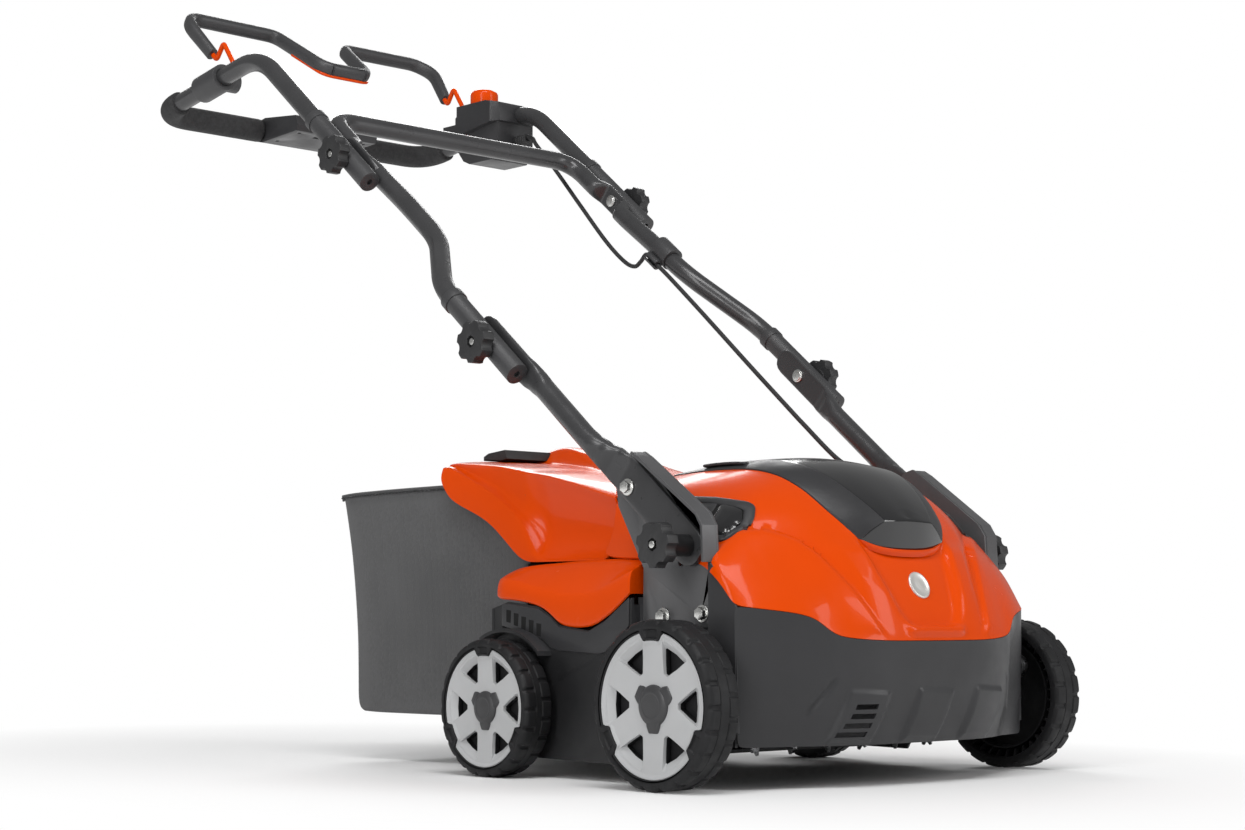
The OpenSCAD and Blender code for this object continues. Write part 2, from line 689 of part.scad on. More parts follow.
// Left leg of the middle section, from its lower end to the crossbar's corner
middle_corners = [
    on_slope(lower_joint, sleeve_start + 4, lower_sleeve_x),
    on_slope(lower_joint, 118, lower_sleeve_x),
    on_slope(lower_joint, 228, leg_x, 5),
    on_slope(lower_joint, joint_span - 112, leg_top_x, 3),
    on_slope(lower_joint, joint_span - 52, leg_top_x)
];
middle_leg = concat(
    rounded(middle_corners, 28, 5),
    [for (s = [-40, -28, -17, 17, 28, 40])
        on_slope(upper_joint, s, abs(s) < 20 ? 224.6 : (abs(s) < 30 ? 220.5 : leg_top_x + 0.5))]
);
middle_top = rounded([on_slope(upper_joint, 50, leg_top_x), on_slope(upper_joint, 102, leg_top_x),
                      on_slope(upper_joint, 102, 0)], 38, 7);
middle_path = concat(middle_leg, [for (i = [0 : len(middle_top) - 2]) middle_top[i]],
                     flip_x(concat(middle_leg, [for (i = [0 : len(middle_top) - 2]) middle_top[i]])));
// Half-thickness of the middle legs, which are pressed flat at the upper joint
function leg_half(p) =
    let (s = abs((p - upper_joint) * slope_dir)) s < 20 ? 3.3 : (s < 30 ? 6.5 : tube_r);

module middle_frame() {
    color(steel_grey) place() difference() {
        tube(middle_path, [for (p = middle_path) leg_half(p)],
             [for (p = middle_path) leg_half(p) < tube_r ? 15 : tube_r]);
        both() bar_x(lower_joint, 250, 290, bolt_r + run_fit, 48);
        both() bar_x(upper_joint, 205, 235, bolt_r + run_fit, 48);
    }
}

// Plastic sleeve with a collar and a drilled end cap, over the lower end of a tube
module sleeve(p, x) {
    color(charcoal) place() difference() {
        up_slope(on_slope(p, 0, x)) difference() {
            union() {
                translate([0, 0, sleeve_start]) cylinder(h = sleeve_end - sleeve_start,
                                                         r = sleeve_r, $fn = 64);
                translate([0, 0, sleeve_end - 12]) cylinder(h = 12, r = sleeve_r + 1.5, $fn = 64);
            }
            translate([0, 0, sleeve_start + 3.5]) cylinder(h = 200, r = tube_r + 0.05, $fn = 64);
            translate([0, 0, sleeve_start - 1]) cylinder(h = 6, r = 4, $fn = 32);
        }
        bar_x(p, x - 20, x + 20, bolt_r + run_fit, 48);
    }
}
module middle_sleeves() { both() sleeve(lower_joint, lower_sleeve_x); }
module upper_sleeves() { both() sleeve(upper_joint, upper_sleeve_x); }

module upper_bolts() {
    color(silver) place() both() joint_bolt(upper_joint, 217.4, 3.6, 271.5);
}

upper_leg = rounded([
    on_slope(upper_joint, sleeve_start + 4, upper_sleeve_x), [upper_sleeve_x, 842, 944], [241, 1092, 904],
    [0, 1092, 904]
], 45, 6);
upper_path = concat([for (i = [0 : len(upper_leg) - 2]) upper_leg[i]],
                    flip_x([for (i = [0 : len(upper_leg) - 2]) upper_leg[i]]));
flat_up = [0, 0.35, 0.94];

module upper_handle() {
    color(steel_grey) place() difference() {
        tube(upper_path, tube_r, tube_r, up = flat_up);
        both() bar_x(upper_joint, 220, 260, bolt_r + run_fit, 48);
    }
}

// Space that the left half of the upper tube takes in the pieces clamped round it
module tube_passage() { sweep(upper_leg, tube_r + 0.4, tube_r + 0.4, up = flat_up, sides = 24); }

module foam_grips() {
    side = rounded([[241, 1042, 912], [241, 1092, 904], [74, 1092, 904]], 45, 7);
    color(dark) place() both() difference() {
        sweep(side, grip_r, grip_r, up = flat_up);
        sweep(concat([[241, 1030, 913.9]], side, [[70, 1092, 904]]), tube_r + 0.4, tube_r + 0.4,
              up = flat_up);
    }
}

// Cover over the middle of the rear crossbar
module console() {
    color(charcoal) place() difference() {
        plate_x(-72, 72, [[1000, 891], [996, 899], [1002, 914], [1080, 922], [1104, 918],
                          [1109, 905], [1104, 890], [1088, 886]]);
        bar_x([0, 1092, 904], -80, 80, tube_r + 0.4, 64);
        box([-26, 1018, 880], [-6, 1026, 897]);
        both() for (y = [1012, 1068]) translate([58, y, 880]) cylinder(h = 14, r = 3, $fn = 32);
    }
}

// Clamp round the right-hand tube with the boss that holds the bail's right end
module bail_collar() {
    a = [-242.3, 930, 929.9];
    b = [-241.9, 985, 921.1];
    color(charcoal) place() difference() {
        union() {
            sweep([a, b], 19, 19, up = flat_up, sides = 24);
            bar_x(bail_axis, -238, -203, 14, 64);
        }
        mirror([1, 0, 0]) tube_passage();
        // pocket that the end of the bail turns in
        bar_x(bail_axis, -214, -202, 5.5, 48);
        box([-212.5, bail_axis.y - 8, bail_axis.z], [-202, bail_axis.y + 16, bail_axis.z + 20]);
    }
}

module switch_box() {
    color(charcoal) place() difference() {
        union() {
            // upper shell with the button, and the narrower part below it
            plate_x(button.x - button_r - 4, 266, [[862, 925], [864, 953], [884, 957], [972, 957],
                                                   [984, 948], [984, 908]]);
            plate_x(200, 270, [[868, 930], [868, 880], [882, 868], [934, 868], [948, 874],
                               [976, 908], [976, 914]]);
        }
        // slanted corner towards the front and the inner side
        translate([button.x - button_r - 4, 862, 900]) rotate([0, 0, 45])
            cube([16, 16, 130], center = true);
        // passage of the handle tube
        tube_passage();
        // well of the start button
        translate([button.x, button.y, 945.6]) cylinder(h = 30, r = button_r + run_fit, $fn = 96);
        // pocket for the bail's left end
        bar_x(bail_axis, 199, 214, 5.5, 48);
        box([188, bail_axis.y - 8, bail_axis.z - 2], [212.5, bail_axis.y + 28, 970]);
        // seat of the cable's strain relief
        bar_y([236, 866, 898], -8, 12, 5, 48);
    }
}

// Rubber boot where the cable leaves the switch box
module strain_relief() {
    color(dark) place() difference() {
        union() {
            bar_y([236, 866, 898], 0, 11, 5, 48);
            bar_y([236, 866, 898], -26, 0, 6.5, 48);
            for (k = [0 : 3]) bar_y([236, 866, 898], -22 + 5 * k, -19.5 + 5 * k, 7.5, 48);
        }
        bar_y([236, 866, 898], -30, 12, 3.1, 32);
    }
}

module start_button() {
    color(orange) place() translate([button.x, button.y, 0]) {
        translate([0, 0, 951]) cylinder(h = 25, r = button_r, $fn = 96);
        translate([0, 0, 975]) cylinder(h = 4, r1 = button_r, r2 = button_r - 3, $fn = 96);
    }
}

// Bail: bent wire ends and a wide grip bar with a dip in the middle
bail_wire = rounded([
    [bail_end_x, 960, 932], [bail_end_x, 961, 962], [bail_end_x + 1, 984, 994],
    [bail_end_x + 2, 1000, 972], [212, 1022, 996]
], 6, 4);
bail_half = concat(
    rounded([[212, 1008, 981], [224, 1052, 1030], [205, 1076, 1047], [62, 1072, 1045],
             [40, 980, 986]], 16, 5),
    [[39, 979, 985.4]]
);
bail_grip_path = concat(bail_half, [[30, 976, 984]], flip_x(concat(bail_half, [[30, 976, 984]])));

module bail_lever() {
    color(orange) place() {
        both() sweep(bail_wire, 3.5, 3.5, up = [1, 0, 0], sides = 8);
        both() bar_x(bail_axis, bail_end_x - 2.5, 213.5, 5.4, 48);
        sweep(bail_grip_path, 8, 10, up = [0, -0.5, 0.8], sides = 10);
    }
}

// ---------- cable ----------

cable_deck = [150, 100, 333];
clip_at = [200, 531, 674.2];
cable_lower_path = rounded([
    clip_at, clip_at - 12 * slope_dir, [198, 490, 641], [193, 420, 583], [184, 330, 509],
    [173, 235, 433], [162, 160, 378], [153, 109, 357], [150, 100, 352], [150, 100, 322]
], 5, 2);
cable_upper_path = rounded([
    [236, 864, 898], [236, 832, 898], [228, 810, 882], [222, 760, 836], [216, 700, 776],
    [211, 640, 716], [207, 598, 682], [204, 573, 671], [202, 558, 676], [200, 546, 684],
    clip_at + 10 * slope_dir, clip_at
], 5, 2);

module cable_lower() { color(dark) place() sweep(cable_lower_path, 3, 3, up = [1, 0, 0], sides = 8); }
module cable_upper() { color(dark) place() sweep(cable_upper_path, 3, 3, up = [1, 0, 0], sides = 8); }

module cable_gland() {
    color(dark) place() translate([cable_deck.x, cable_deck.y, 0]) difference() {
        union() {
            translate([0, 0, cable_deck.z - 14]) cylinder(h = 26, r = 7, $fn = 48);
            translate([0, 0, cable_deck.z + 7]) cylinder(h = 3, r = 9, $fn = 48);
        }
        translate([0, 0, cable_deck.z - 15]) cylinder(h = 32, r = 3.1, $fn = 32);
    }
}

// Clip snapped round the left leg of the middle section, with a hook for the cable
module cable_clip() {
    hook = [-17, 13, 0];
    color(charcoal) place() difference() {
        up_slope(on_slope(lower_joint, 281, leg_x, 5)) difference() {
            union() {
                translate([-1, -1, 0]) cylinder(h = 34, r = tube_r + 3.5, center = true, $fn = 64);
                translate(hook) cylinder(h = 24, r = 7.5, center = true, $fn = 48);
            }
            translate(hook) cylinder(h = 40, r = 4.5, center = true, $fn = 48);
            translate(hook - [8, 0, 0]) cube([10, 5, 40], center = true);
        }
        sweep(middle_leg, tube_r + gap, tube_r + gap, sides = 24);
    }
}

// ---------- lid, flap and bag ----------

// One row for each station along the lid: y, half-width, edge height, shoulder half-width and height,
// crown height, underside
lid_rows = [
    [-95, 44, 262, 40, 286, 289, 259], [-88, 72, 262, 50, 300, 304, 259],
    [-76, 82, 270, 60, 316, 320, 266], [-50, 94, 296, 72, 338, 342, 292],
    [-10, 104, 326, 82, 354, 360, 322], [50, 110, 347, 88, 361, 367, 343],
    [120, 112, 350, 88, 358, 363, 346], [172, 108, 346, 84, 352, 355, 343]
];

// Straight-sided space that the lid lifts out of
module lid_room() {
    room = gap + 0.5;
    last = len(lid_rows) - 1;
    loft([
        for (i = [0 : last])
            let (r = lid_rows[i], end = i == 0 ? -1 : (i == last ? 1 : 0))
            section(r[0] + end * room, [[r[1] + room, r[6] - 14], [r[1] + room, 400]])
    ]);
}

module battery_lid() {
    color(charcoal) place() {
        difference() {
            loft([
                for (r = lid_rows)
                    section(r[0], [[r[1], r[6]], [r[1], r[2]], [r[3], r[4]], [0, r[5]]])
            ]);
            loft([
                for (r = lid_rows)
                    section(min(max(r[0], -92) + eps, 169), [
                        [r[1] - 4, r[6] - 9], [r[1] - 4, r[2] - 5], [r[3] - 3, r[4] - 4], [0, r[5] - 4]
                    ])
            ]);
        }
        both() bar_x([0, 176, 348], 40, 60, 5, 48);
        both() box([40, 168, 343.5], [60, 177, 350]);
    }
}

flap_hinge = [0, 205, 330];

// One row for each station along the flap: y, lower edge, crease, top and bulge heights
flap_rows = [[206, 250, 318, 333, 336], [262, 249, 334, 346, 350], [318, 250, 350, 360, 366],
             [352, 252, 356, 365, 373], [396, 291, 363, 370, 386], [430, 317, 368, 375, 398],
             [470, 337, 372, 378, 390], [494, 352, 374, 380, 384]];

module flap_solid(inset) {
    w = 202 - inset;
    loft([
        for (i = [0 : len(flap_rows) - 1])
            let (r = flap_rows[i], end = i == 0 ? -1 : (i == len(flap_rows) - 1 ? 1 : 0))
            section(r[0] + end * inset, [
                [w, r[1] - inset], [w, r[2] - 14 - inset / 2], [w - 14, r[2] - inset],
                [w - 50, r[3] - inset], [66 - inset, r[3] + 2 - inset],
                [52 - inset, r[4] - inset], [0, r[4] + 1 - inset]
            ])
    ]);
}

module rear_flap() {
    color(orange) place() union() {
        difference() {
            flap_solid(0);
            flap_solid(skin);
            bar_x(flap_hinge, -175, 175, 3 + gap, 48);
        }
        // hinge knuckles on the flap's front edge
        both() difference() {
            union() {
                bar_x(flap_hinge, 120, 150, 6, 48);
                box([120, 205, 324], [150, 214, 333]);
            }
            bar_x(flap_hinge, 119, 151, 3 + run_fit, 48);
        }
    }
}

module flap_grip() {
    color(charcoal) place() difference() {
        plate_x(-130, 130, [[452, 380], [456, 391], [488, 388], [497, 384], [497, 379], [470, 377]]);
        flap_solid(-0.1);
        translate([0, 1, 0]) flap_solid(-0.1);
    }
}

module flap_rod() {
    color(silver) place() bar_x(flap_hinge, -170, 170, 3, 48);
}

// Stiff plastic frame round the bag's mouth, with the two tabs that rest on the housing
module bag_frame() {
    color(dark) place() difference() {
        union() {
            box([-181, 348, 104], [181, 354, 326]);
            both() box([120, 336, 246.3], [140, 349, 251]);
        }
        difference() {
            box([-172, 347, 113], [172, 355, 316]);
            box([-173, 346, 244], [173, 356, 253]);
        }
    }
}

module collector_bag() {
    front = 347;
    back = front + bag_len;
    color([0.24, 0.24, 0.25]) place() difference() {
        plate_x(-bag_half_w, bag_half_w, [[front, 100], [front, 330], [front + 30, 342],
            [front + 146, 345], [back - 8, 343], [back, 334], [back - 22, 270], [back - 38, 160],
            [back - 40, 76], [back - 52, 62], [front + 130, 60], [front + 40, 70]]);
        plate_x(-bag_half_w + bag_wall, bag_half_w - bag_wall, [[front - 1, 103], [front - 1, 327],
            [front + 30, 339], [front + 146, 342], [back - 9, 340], [back - 4, 333],
            [back - 25, 270], [back - 41, 160], [back - 43, 77], [back - 53, 65],
            [front + 130, 63], [front + 40, 73]]);
    }
}

// ---------- assembly ----------

front_hub = [0, 0, front_z];
rear_hub = [0, wheelbase, rear_z];
module front_wheel() { wheel(front_wheel_r, front_tyre_w, front_wheel_x, front_hub); }
module front_trim() { trim(front_wheel_r, front_wheel_x, front_hub); }
module rear_wheel() { wheel(rear_wheel_r, rear_tyre_w, rear_wheel_x, rear_hub); }
module rear_trim() { trim(rear_wheel_r, rear_wheel_x, rear_hub); }

lower_housing();
front_skirt();
hood();
shoulder_covers();
window_frames();
battery_bay();
battery();
motor();
drive_pulley();
drive_belt();
belt_cover();
rotor_shaft();
rotor_pulley();
scarifier_blades();
rotor_bearings();
rear_axle();
depth_axle();
depth_lever();
bracket_right();
bracket_left();
deck_bolts();
cable_gland();
battery_lid();
rear_flap();
flap_grip();
flap_rod();
mirror([1, 0, 0]) front_wheel();  // front_right_wheel
mirror([1, 0, 0]) front_trim();  // front_right_trim
front_wheel();  // front_left_wheel
front_trim();  // front_left_trim
mirror([1, 0, 0]) rear_wheel();  // rear_right_wheel
mirror([1, 0, 0]) rear_trim();  // rear_right_trim
rear_wheel();  // rear_left_wheel
rear_trim();  // rear_left_trim
lower_tube_right();
lower_tube_left();
lower_bolts();
knob_bracket_right();
knob_bracket_left();
knob_lower_right();
knob_lower_left();
middle_frame();
middle_sleeves();
upper_bolts();
knob_upper_right();
knob_upper_left();
cable_clip();
cable_lower();
cable_upper();
upper_handle();
upper_sleeves();
foam_grips();
console();
bail_collar();
switch_box();
strain_relief();
start_button();
bail_lever();
collector_bag();
bag_frame();
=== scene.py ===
"""The looks of a battery lawn dethatcher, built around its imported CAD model."""
import json
import math
from contextlib import contextmanager

import bmesh
import bpy
from mathutils import Matrix, Vector, noise
from mathutils.bvhtree import BVHTree
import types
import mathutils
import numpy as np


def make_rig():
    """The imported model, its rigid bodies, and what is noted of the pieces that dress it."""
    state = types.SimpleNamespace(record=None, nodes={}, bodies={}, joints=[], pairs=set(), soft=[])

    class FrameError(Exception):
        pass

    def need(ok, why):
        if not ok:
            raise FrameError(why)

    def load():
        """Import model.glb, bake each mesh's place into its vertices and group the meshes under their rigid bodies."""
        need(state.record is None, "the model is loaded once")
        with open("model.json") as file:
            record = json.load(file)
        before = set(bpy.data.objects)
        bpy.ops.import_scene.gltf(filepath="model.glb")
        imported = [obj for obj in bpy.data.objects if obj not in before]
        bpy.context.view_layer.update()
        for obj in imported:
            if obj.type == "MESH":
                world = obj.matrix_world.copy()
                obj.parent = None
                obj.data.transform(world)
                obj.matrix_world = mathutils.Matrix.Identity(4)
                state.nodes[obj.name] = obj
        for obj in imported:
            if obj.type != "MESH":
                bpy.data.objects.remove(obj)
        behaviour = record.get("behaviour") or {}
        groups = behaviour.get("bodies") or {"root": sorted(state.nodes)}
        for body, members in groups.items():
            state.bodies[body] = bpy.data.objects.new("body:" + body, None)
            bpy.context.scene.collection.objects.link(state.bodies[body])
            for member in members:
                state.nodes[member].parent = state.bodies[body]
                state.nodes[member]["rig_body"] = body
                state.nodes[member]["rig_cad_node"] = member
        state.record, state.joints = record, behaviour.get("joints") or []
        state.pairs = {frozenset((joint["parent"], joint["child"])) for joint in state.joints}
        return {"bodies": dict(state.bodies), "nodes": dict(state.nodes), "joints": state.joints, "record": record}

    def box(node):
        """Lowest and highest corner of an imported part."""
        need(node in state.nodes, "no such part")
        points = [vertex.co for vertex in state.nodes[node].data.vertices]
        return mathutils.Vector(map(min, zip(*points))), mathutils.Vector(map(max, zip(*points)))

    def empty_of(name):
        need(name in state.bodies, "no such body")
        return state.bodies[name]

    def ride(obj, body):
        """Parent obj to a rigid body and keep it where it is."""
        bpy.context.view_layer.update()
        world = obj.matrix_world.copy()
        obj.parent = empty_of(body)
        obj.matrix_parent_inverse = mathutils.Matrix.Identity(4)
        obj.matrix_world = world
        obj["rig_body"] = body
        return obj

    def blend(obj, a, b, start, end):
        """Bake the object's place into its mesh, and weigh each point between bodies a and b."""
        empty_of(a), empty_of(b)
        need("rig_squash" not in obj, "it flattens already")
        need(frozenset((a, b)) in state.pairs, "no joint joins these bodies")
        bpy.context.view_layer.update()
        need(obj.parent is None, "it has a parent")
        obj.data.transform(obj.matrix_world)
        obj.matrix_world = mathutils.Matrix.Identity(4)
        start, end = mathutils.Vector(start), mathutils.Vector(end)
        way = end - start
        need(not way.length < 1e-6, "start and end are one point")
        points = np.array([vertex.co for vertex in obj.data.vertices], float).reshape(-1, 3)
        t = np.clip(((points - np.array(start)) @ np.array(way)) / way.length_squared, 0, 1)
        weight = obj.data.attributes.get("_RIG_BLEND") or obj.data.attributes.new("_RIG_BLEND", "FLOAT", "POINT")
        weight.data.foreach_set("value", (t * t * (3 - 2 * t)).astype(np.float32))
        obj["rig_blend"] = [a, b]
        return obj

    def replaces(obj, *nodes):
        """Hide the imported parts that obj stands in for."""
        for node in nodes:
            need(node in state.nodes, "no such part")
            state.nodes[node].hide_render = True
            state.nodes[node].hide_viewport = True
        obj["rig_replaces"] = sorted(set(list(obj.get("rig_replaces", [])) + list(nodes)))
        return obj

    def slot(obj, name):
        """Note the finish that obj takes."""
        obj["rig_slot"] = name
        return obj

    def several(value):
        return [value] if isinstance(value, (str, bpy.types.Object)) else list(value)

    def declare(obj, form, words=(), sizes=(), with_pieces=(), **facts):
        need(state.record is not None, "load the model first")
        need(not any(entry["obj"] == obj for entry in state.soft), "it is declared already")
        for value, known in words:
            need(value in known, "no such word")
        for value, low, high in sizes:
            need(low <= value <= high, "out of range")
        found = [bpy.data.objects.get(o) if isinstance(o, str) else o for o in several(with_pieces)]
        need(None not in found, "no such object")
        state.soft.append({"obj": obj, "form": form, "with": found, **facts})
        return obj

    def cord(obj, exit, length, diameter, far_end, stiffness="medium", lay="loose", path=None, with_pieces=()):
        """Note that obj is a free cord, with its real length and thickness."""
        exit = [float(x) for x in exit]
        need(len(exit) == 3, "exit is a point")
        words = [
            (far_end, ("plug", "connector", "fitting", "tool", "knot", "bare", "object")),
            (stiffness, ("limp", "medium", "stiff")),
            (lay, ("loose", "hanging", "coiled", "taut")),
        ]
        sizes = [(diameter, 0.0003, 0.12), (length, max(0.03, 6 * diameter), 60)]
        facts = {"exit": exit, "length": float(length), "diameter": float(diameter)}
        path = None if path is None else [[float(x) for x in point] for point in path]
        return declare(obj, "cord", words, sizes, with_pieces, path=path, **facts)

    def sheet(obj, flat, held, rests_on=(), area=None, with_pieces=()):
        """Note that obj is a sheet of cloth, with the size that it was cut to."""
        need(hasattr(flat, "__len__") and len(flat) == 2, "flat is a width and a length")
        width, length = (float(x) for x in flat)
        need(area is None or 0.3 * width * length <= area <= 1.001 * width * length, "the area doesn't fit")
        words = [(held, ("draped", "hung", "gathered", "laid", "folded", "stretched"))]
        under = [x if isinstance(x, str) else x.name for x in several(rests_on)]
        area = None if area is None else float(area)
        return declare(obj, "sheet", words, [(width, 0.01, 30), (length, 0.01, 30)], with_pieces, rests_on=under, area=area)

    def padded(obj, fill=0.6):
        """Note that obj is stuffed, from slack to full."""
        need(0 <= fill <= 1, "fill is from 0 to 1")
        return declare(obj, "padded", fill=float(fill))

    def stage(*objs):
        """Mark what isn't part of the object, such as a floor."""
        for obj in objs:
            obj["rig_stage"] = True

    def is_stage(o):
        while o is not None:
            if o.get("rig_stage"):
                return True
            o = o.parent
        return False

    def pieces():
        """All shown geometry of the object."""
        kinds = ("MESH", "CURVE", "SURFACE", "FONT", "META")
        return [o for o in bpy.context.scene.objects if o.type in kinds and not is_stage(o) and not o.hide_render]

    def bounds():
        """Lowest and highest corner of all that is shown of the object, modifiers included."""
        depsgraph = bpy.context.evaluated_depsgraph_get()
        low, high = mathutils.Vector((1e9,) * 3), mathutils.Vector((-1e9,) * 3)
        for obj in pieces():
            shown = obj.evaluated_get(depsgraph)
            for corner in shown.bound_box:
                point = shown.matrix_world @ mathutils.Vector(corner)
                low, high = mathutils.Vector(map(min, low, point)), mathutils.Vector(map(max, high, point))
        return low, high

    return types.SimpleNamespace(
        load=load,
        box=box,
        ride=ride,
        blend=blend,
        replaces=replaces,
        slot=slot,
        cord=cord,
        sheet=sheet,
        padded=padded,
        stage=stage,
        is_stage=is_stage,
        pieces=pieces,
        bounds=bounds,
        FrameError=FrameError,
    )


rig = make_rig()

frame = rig.load()
cad_box = [list(corner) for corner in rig.bounds()]

scene = bpy.context.scene
MM = 0.001
AXLE_Y = sum(corner.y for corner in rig.box("front_right_wheel")) / 2
JOINTS = {joint["name"]: joint for joint in frame["joints"]}
BODY_OF = {node: body for body, nodes in frame["record"]["behaviour"]["bodies"].items() for node in nodes}
SLOT_OF = {part["node"]: part["material_slot"] for part in frame["record"]["subparts"]}
SIDES = ((-1, "right"), (1, "left"))
SLOPE = math.radians(39.8)  # of the lower tubes
ALONG = Vector((0, math.cos(SLOPE), math.sin(SLOPE)))
ABOVE = Vector((0, -math.sin(SLOPE), math.cos(SLOPE)))


def at(x, y, z):
    """Point given in mm, with y counted rearwards from the front axle."""
    return Vector((x * MM, AXLE_Y + y * MM, z * MM))


# ---------- materials ----------

WAVE_PITCH = 0.314  # wave texture scale that gives bands 1 m apart


def fill(tree, made, inputs):
    """Sets a shader node's inputs: each is a value, or the output socket that feeds it."""
    for key, value in inputs.items():
        if isinstance(value, bpy.types.NodeSocket):
            tree.links.new(value, made.inputs[key])
        else:
            made.inputs[key].default_value = value


def put_node(tree, kind, inputs=None, output=None, **settings):
    """New shader node; gives the named output, or else its first."""
    made = tree.nodes.new("ShaderNode" + kind)
    for key, value in settings.items():
        setattr(made, key, value)
    fill(tree, made, inputs or {})
    return made.outputs[output or 0]


def new_material(name):
    mat = bpy.data.materials.new(name)
    mat.use_nodes = True
    return mat, mat.node_tree, mat.node_tree.nodes["Principled BSDF"]


def material(name, color, rough, metal=0.0, coat=0.0, coat_rough=0.1, mottle=0.12, mottle_scale=9.0,
             rough_spread=0.08, grain=0.02, grain_scale=900.0, specular=0.5, stretch=(1, 1, 1)):
    """Moulded, painted or metal surface: mottled colour, uneven roughness and a fine grain."""
    mat, tree, shader = new_material(name)
    place = put_node(tree, "TexCoord", output="Object")
    place = put_node(tree, "Mapping", {"Scale": stretch, "Vector": place})

    def noise_map(scale, low, high):
        tex = put_node(tree, "TexNoise", {"Scale": scale, "Detail": 4.0, "Vector": place}, "Fac")
        return put_node(tree, "MapRange", {"From Min": 0.3, "From Max": 0.7, "To Min": low, "To Max": high,
                                           "Value": tex}, "Result")

    tone = put_node(tree, "Mix", {"A": (*[c * (1 - mottle) for c in color], 1),
                                  "B": (*[min(c * (1 + mottle), 1) for c in color], 1),
                                  "Factor": noise_map(mottle_scale, 0, 1)}, "Result", data_type="RGBA")
    bump = put_node(tree, "Bump", {"Strength": grain, "Distance": 0.001,
                                   "Height": noise_map(grain_scale, 0, 1)}, "Normal")
    fill(tree, shader, {
        "Metallic": metal, "Coat Weight": coat, "Coat Roughness": coat_rough, "Specular IOR Level": specular,
        "Base Color": tone, "Normal": bump,
        "Roughness": noise_map(mottle_scale * 3, rough - rough_spread, rough + rough_spread)})
    return mat


def fabric_material(name, color, threads=0.0011):
    """Coarse woven polyester: vertical warp ribs crossed by finer weft, in two close greys."""
    mat, tree, shader = new_material(name)
    place = put_node(tree, "TexCoord", output="Object")

    def ribs(axis, size, distortion):
        return put_node(tree, "TexWave", {"Scale": WAVE_PITCH / size, "Distortion": distortion, "Detail": 2.0,
                                          "Detail Scale": 2.0, "Vector": place}, "Fac", bands_direction=axis)

    def mixed(a, b, factor):
        return put_node(tree, "Mix", {"Factor": factor, "A": a, "B": b}, "Result", data_type="FLOAT")

    warp = mixed(ribs("Y", threads * 2.2, 3.0), ribs("X", threads * 2.2, 3.0), 0.45)
    weave = mixed(warp, ribs("Z", threads, 1.5), 0.35)
    blotch = put_node(tree, "TexNoise", {"Scale": 14, "Detail": 6, "Vector": place}, "Fac")
    ramp = put_node(tree, "ValToRGB", {"Fac": mixed(weave, blotch, 0.4)}, "Color")
    for stop, (position, tone) in zip(ramp.node.color_ramp.elements, ((0.25, 0.62), (0.8, 1.35))):
        stop.position = position
        stop.color = (*[c * tone for c in color], 1)
    bump = put_node(tree, "Bump", {"Strength": 0.5, "Distance": 0.0006, "Height": weave}, "Normal")
    fill(tree, shader, {"Roughness": 0.85, "Sheen Weight": 0.35, "Base Color": ramp, "Normal": bump})
    return mat


ORANGE = material("orange_gloss", (0.67, 0.058, 0.0003), 0.24, coat=0.18, coat_rough=0.05, mottle=0.04,
                  mottle_scale=4, rough_spread=0.04, grain=0.02, grain_scale=260, specular=0.08)
CHARCOAL = material("charcoal_satin", (0.030, 0.030, 0.032), 0.40, mottle=0.12, grain=0.06,
                    grain_scale=1400, specular=0.38)
CHARCOAL_GLOSS = material("charcoal_gloss", (0.009, 0.009, 0.010), 0.14, coat=0.5, coat_rough=0.03,
                          mottle=0.1, rough_spread=0.04, grain=0.01, grain_scale=400)
BLACK = material("black_moulded", (0.010, 0.010, 0.011), 0.5, grain=0.08, grain_scale=1100)
SHADE = material("deep_shade", (0.002, 0.002, 0.002), 0.9)
TREAD = material("tread_black", (0.013, 0.013, 0.014), 0.55, mottle=0.25, mottle_scale=25,
                 rough_spread=0.12, grain=0.10, grain_scale=700, specular=0.25)
KNOB = material("knob_charcoal", (0.020, 0.020, 0.021), 0.48, mottle=0.15, mottle_scale=30, grain=0.12,
                grain_scale=1600)
SLEEVE = material("sleeve_charcoal", (0.040, 0.040, 0.042), 0.45, mottle=0.1, grain=0.08, grain_scale=1500)
PAINT = material("tube_paint", (0.050, 0.050, 0.052), 0.32, metal=0.25, coat=0.35, coat_rough=0.15,
                 mottle=0.1, mottle_scale=14, grain=0.05, grain_scale=1800, specular=0.25)
PLATE = material("bracket_paint", (0.085, 0.085, 0.088), 0.38, metal=0.25, coat=0.2, coat_rough=0.3,
                 mottle=0.08, mottle_scale=12, grain=0.05, grain_scale=1800)
ZINC = material("zinc", (0.72, 0.72, 0.70), 0.26, metal=1.0, mottle=0.12, mottle_scale=60,
                rough_spread=0.1, grain=0.05, grain_scale=1200)
STEEL = material("dark_steel", (0.13, 0.13, 0.135), 0.35, metal=1.0, mottle=0.2, mottle_scale=40,
                 rough_spread=0.12, grain=0.06, grain_scale=900)
BLADE = material("blade_steel", (0.42, 0.42, 0.43), 0.3, metal=1.0, mottle=0.2, mottle_scale=50,
                 rough_spread=0.12, grain=0.08, grain_scale=700, stretch=(1, 1, 6))
TRIM = material("trim_grey", (0.43, 0.435, 0.44), 0.4, mottle=0.04, mottle_scale=20, grain=0.03,
                grain_scale=1300)
FOAM = material("foam_black", (0.022, 0.022, 0.023), 0.75, mottle=0.3, mottle_scale=160,
                rough_spread=0.1, grain=0.35, grain_scale=1500)
RUBBER = material("rubber_black", (0.020, 0.020, 0.021), 0.6, mottle=0.2, mottle_scale=40, grain=0.1,
                  grain_scale=900)
BADGE = material("badge_silver", (0.70, 0.69, 0.66), 0.3, metal=0.6, mottle=0.05, grain=0.02)
FABRIC = fabric_material("bag_weave", (0.060, 0.060, 0.062))

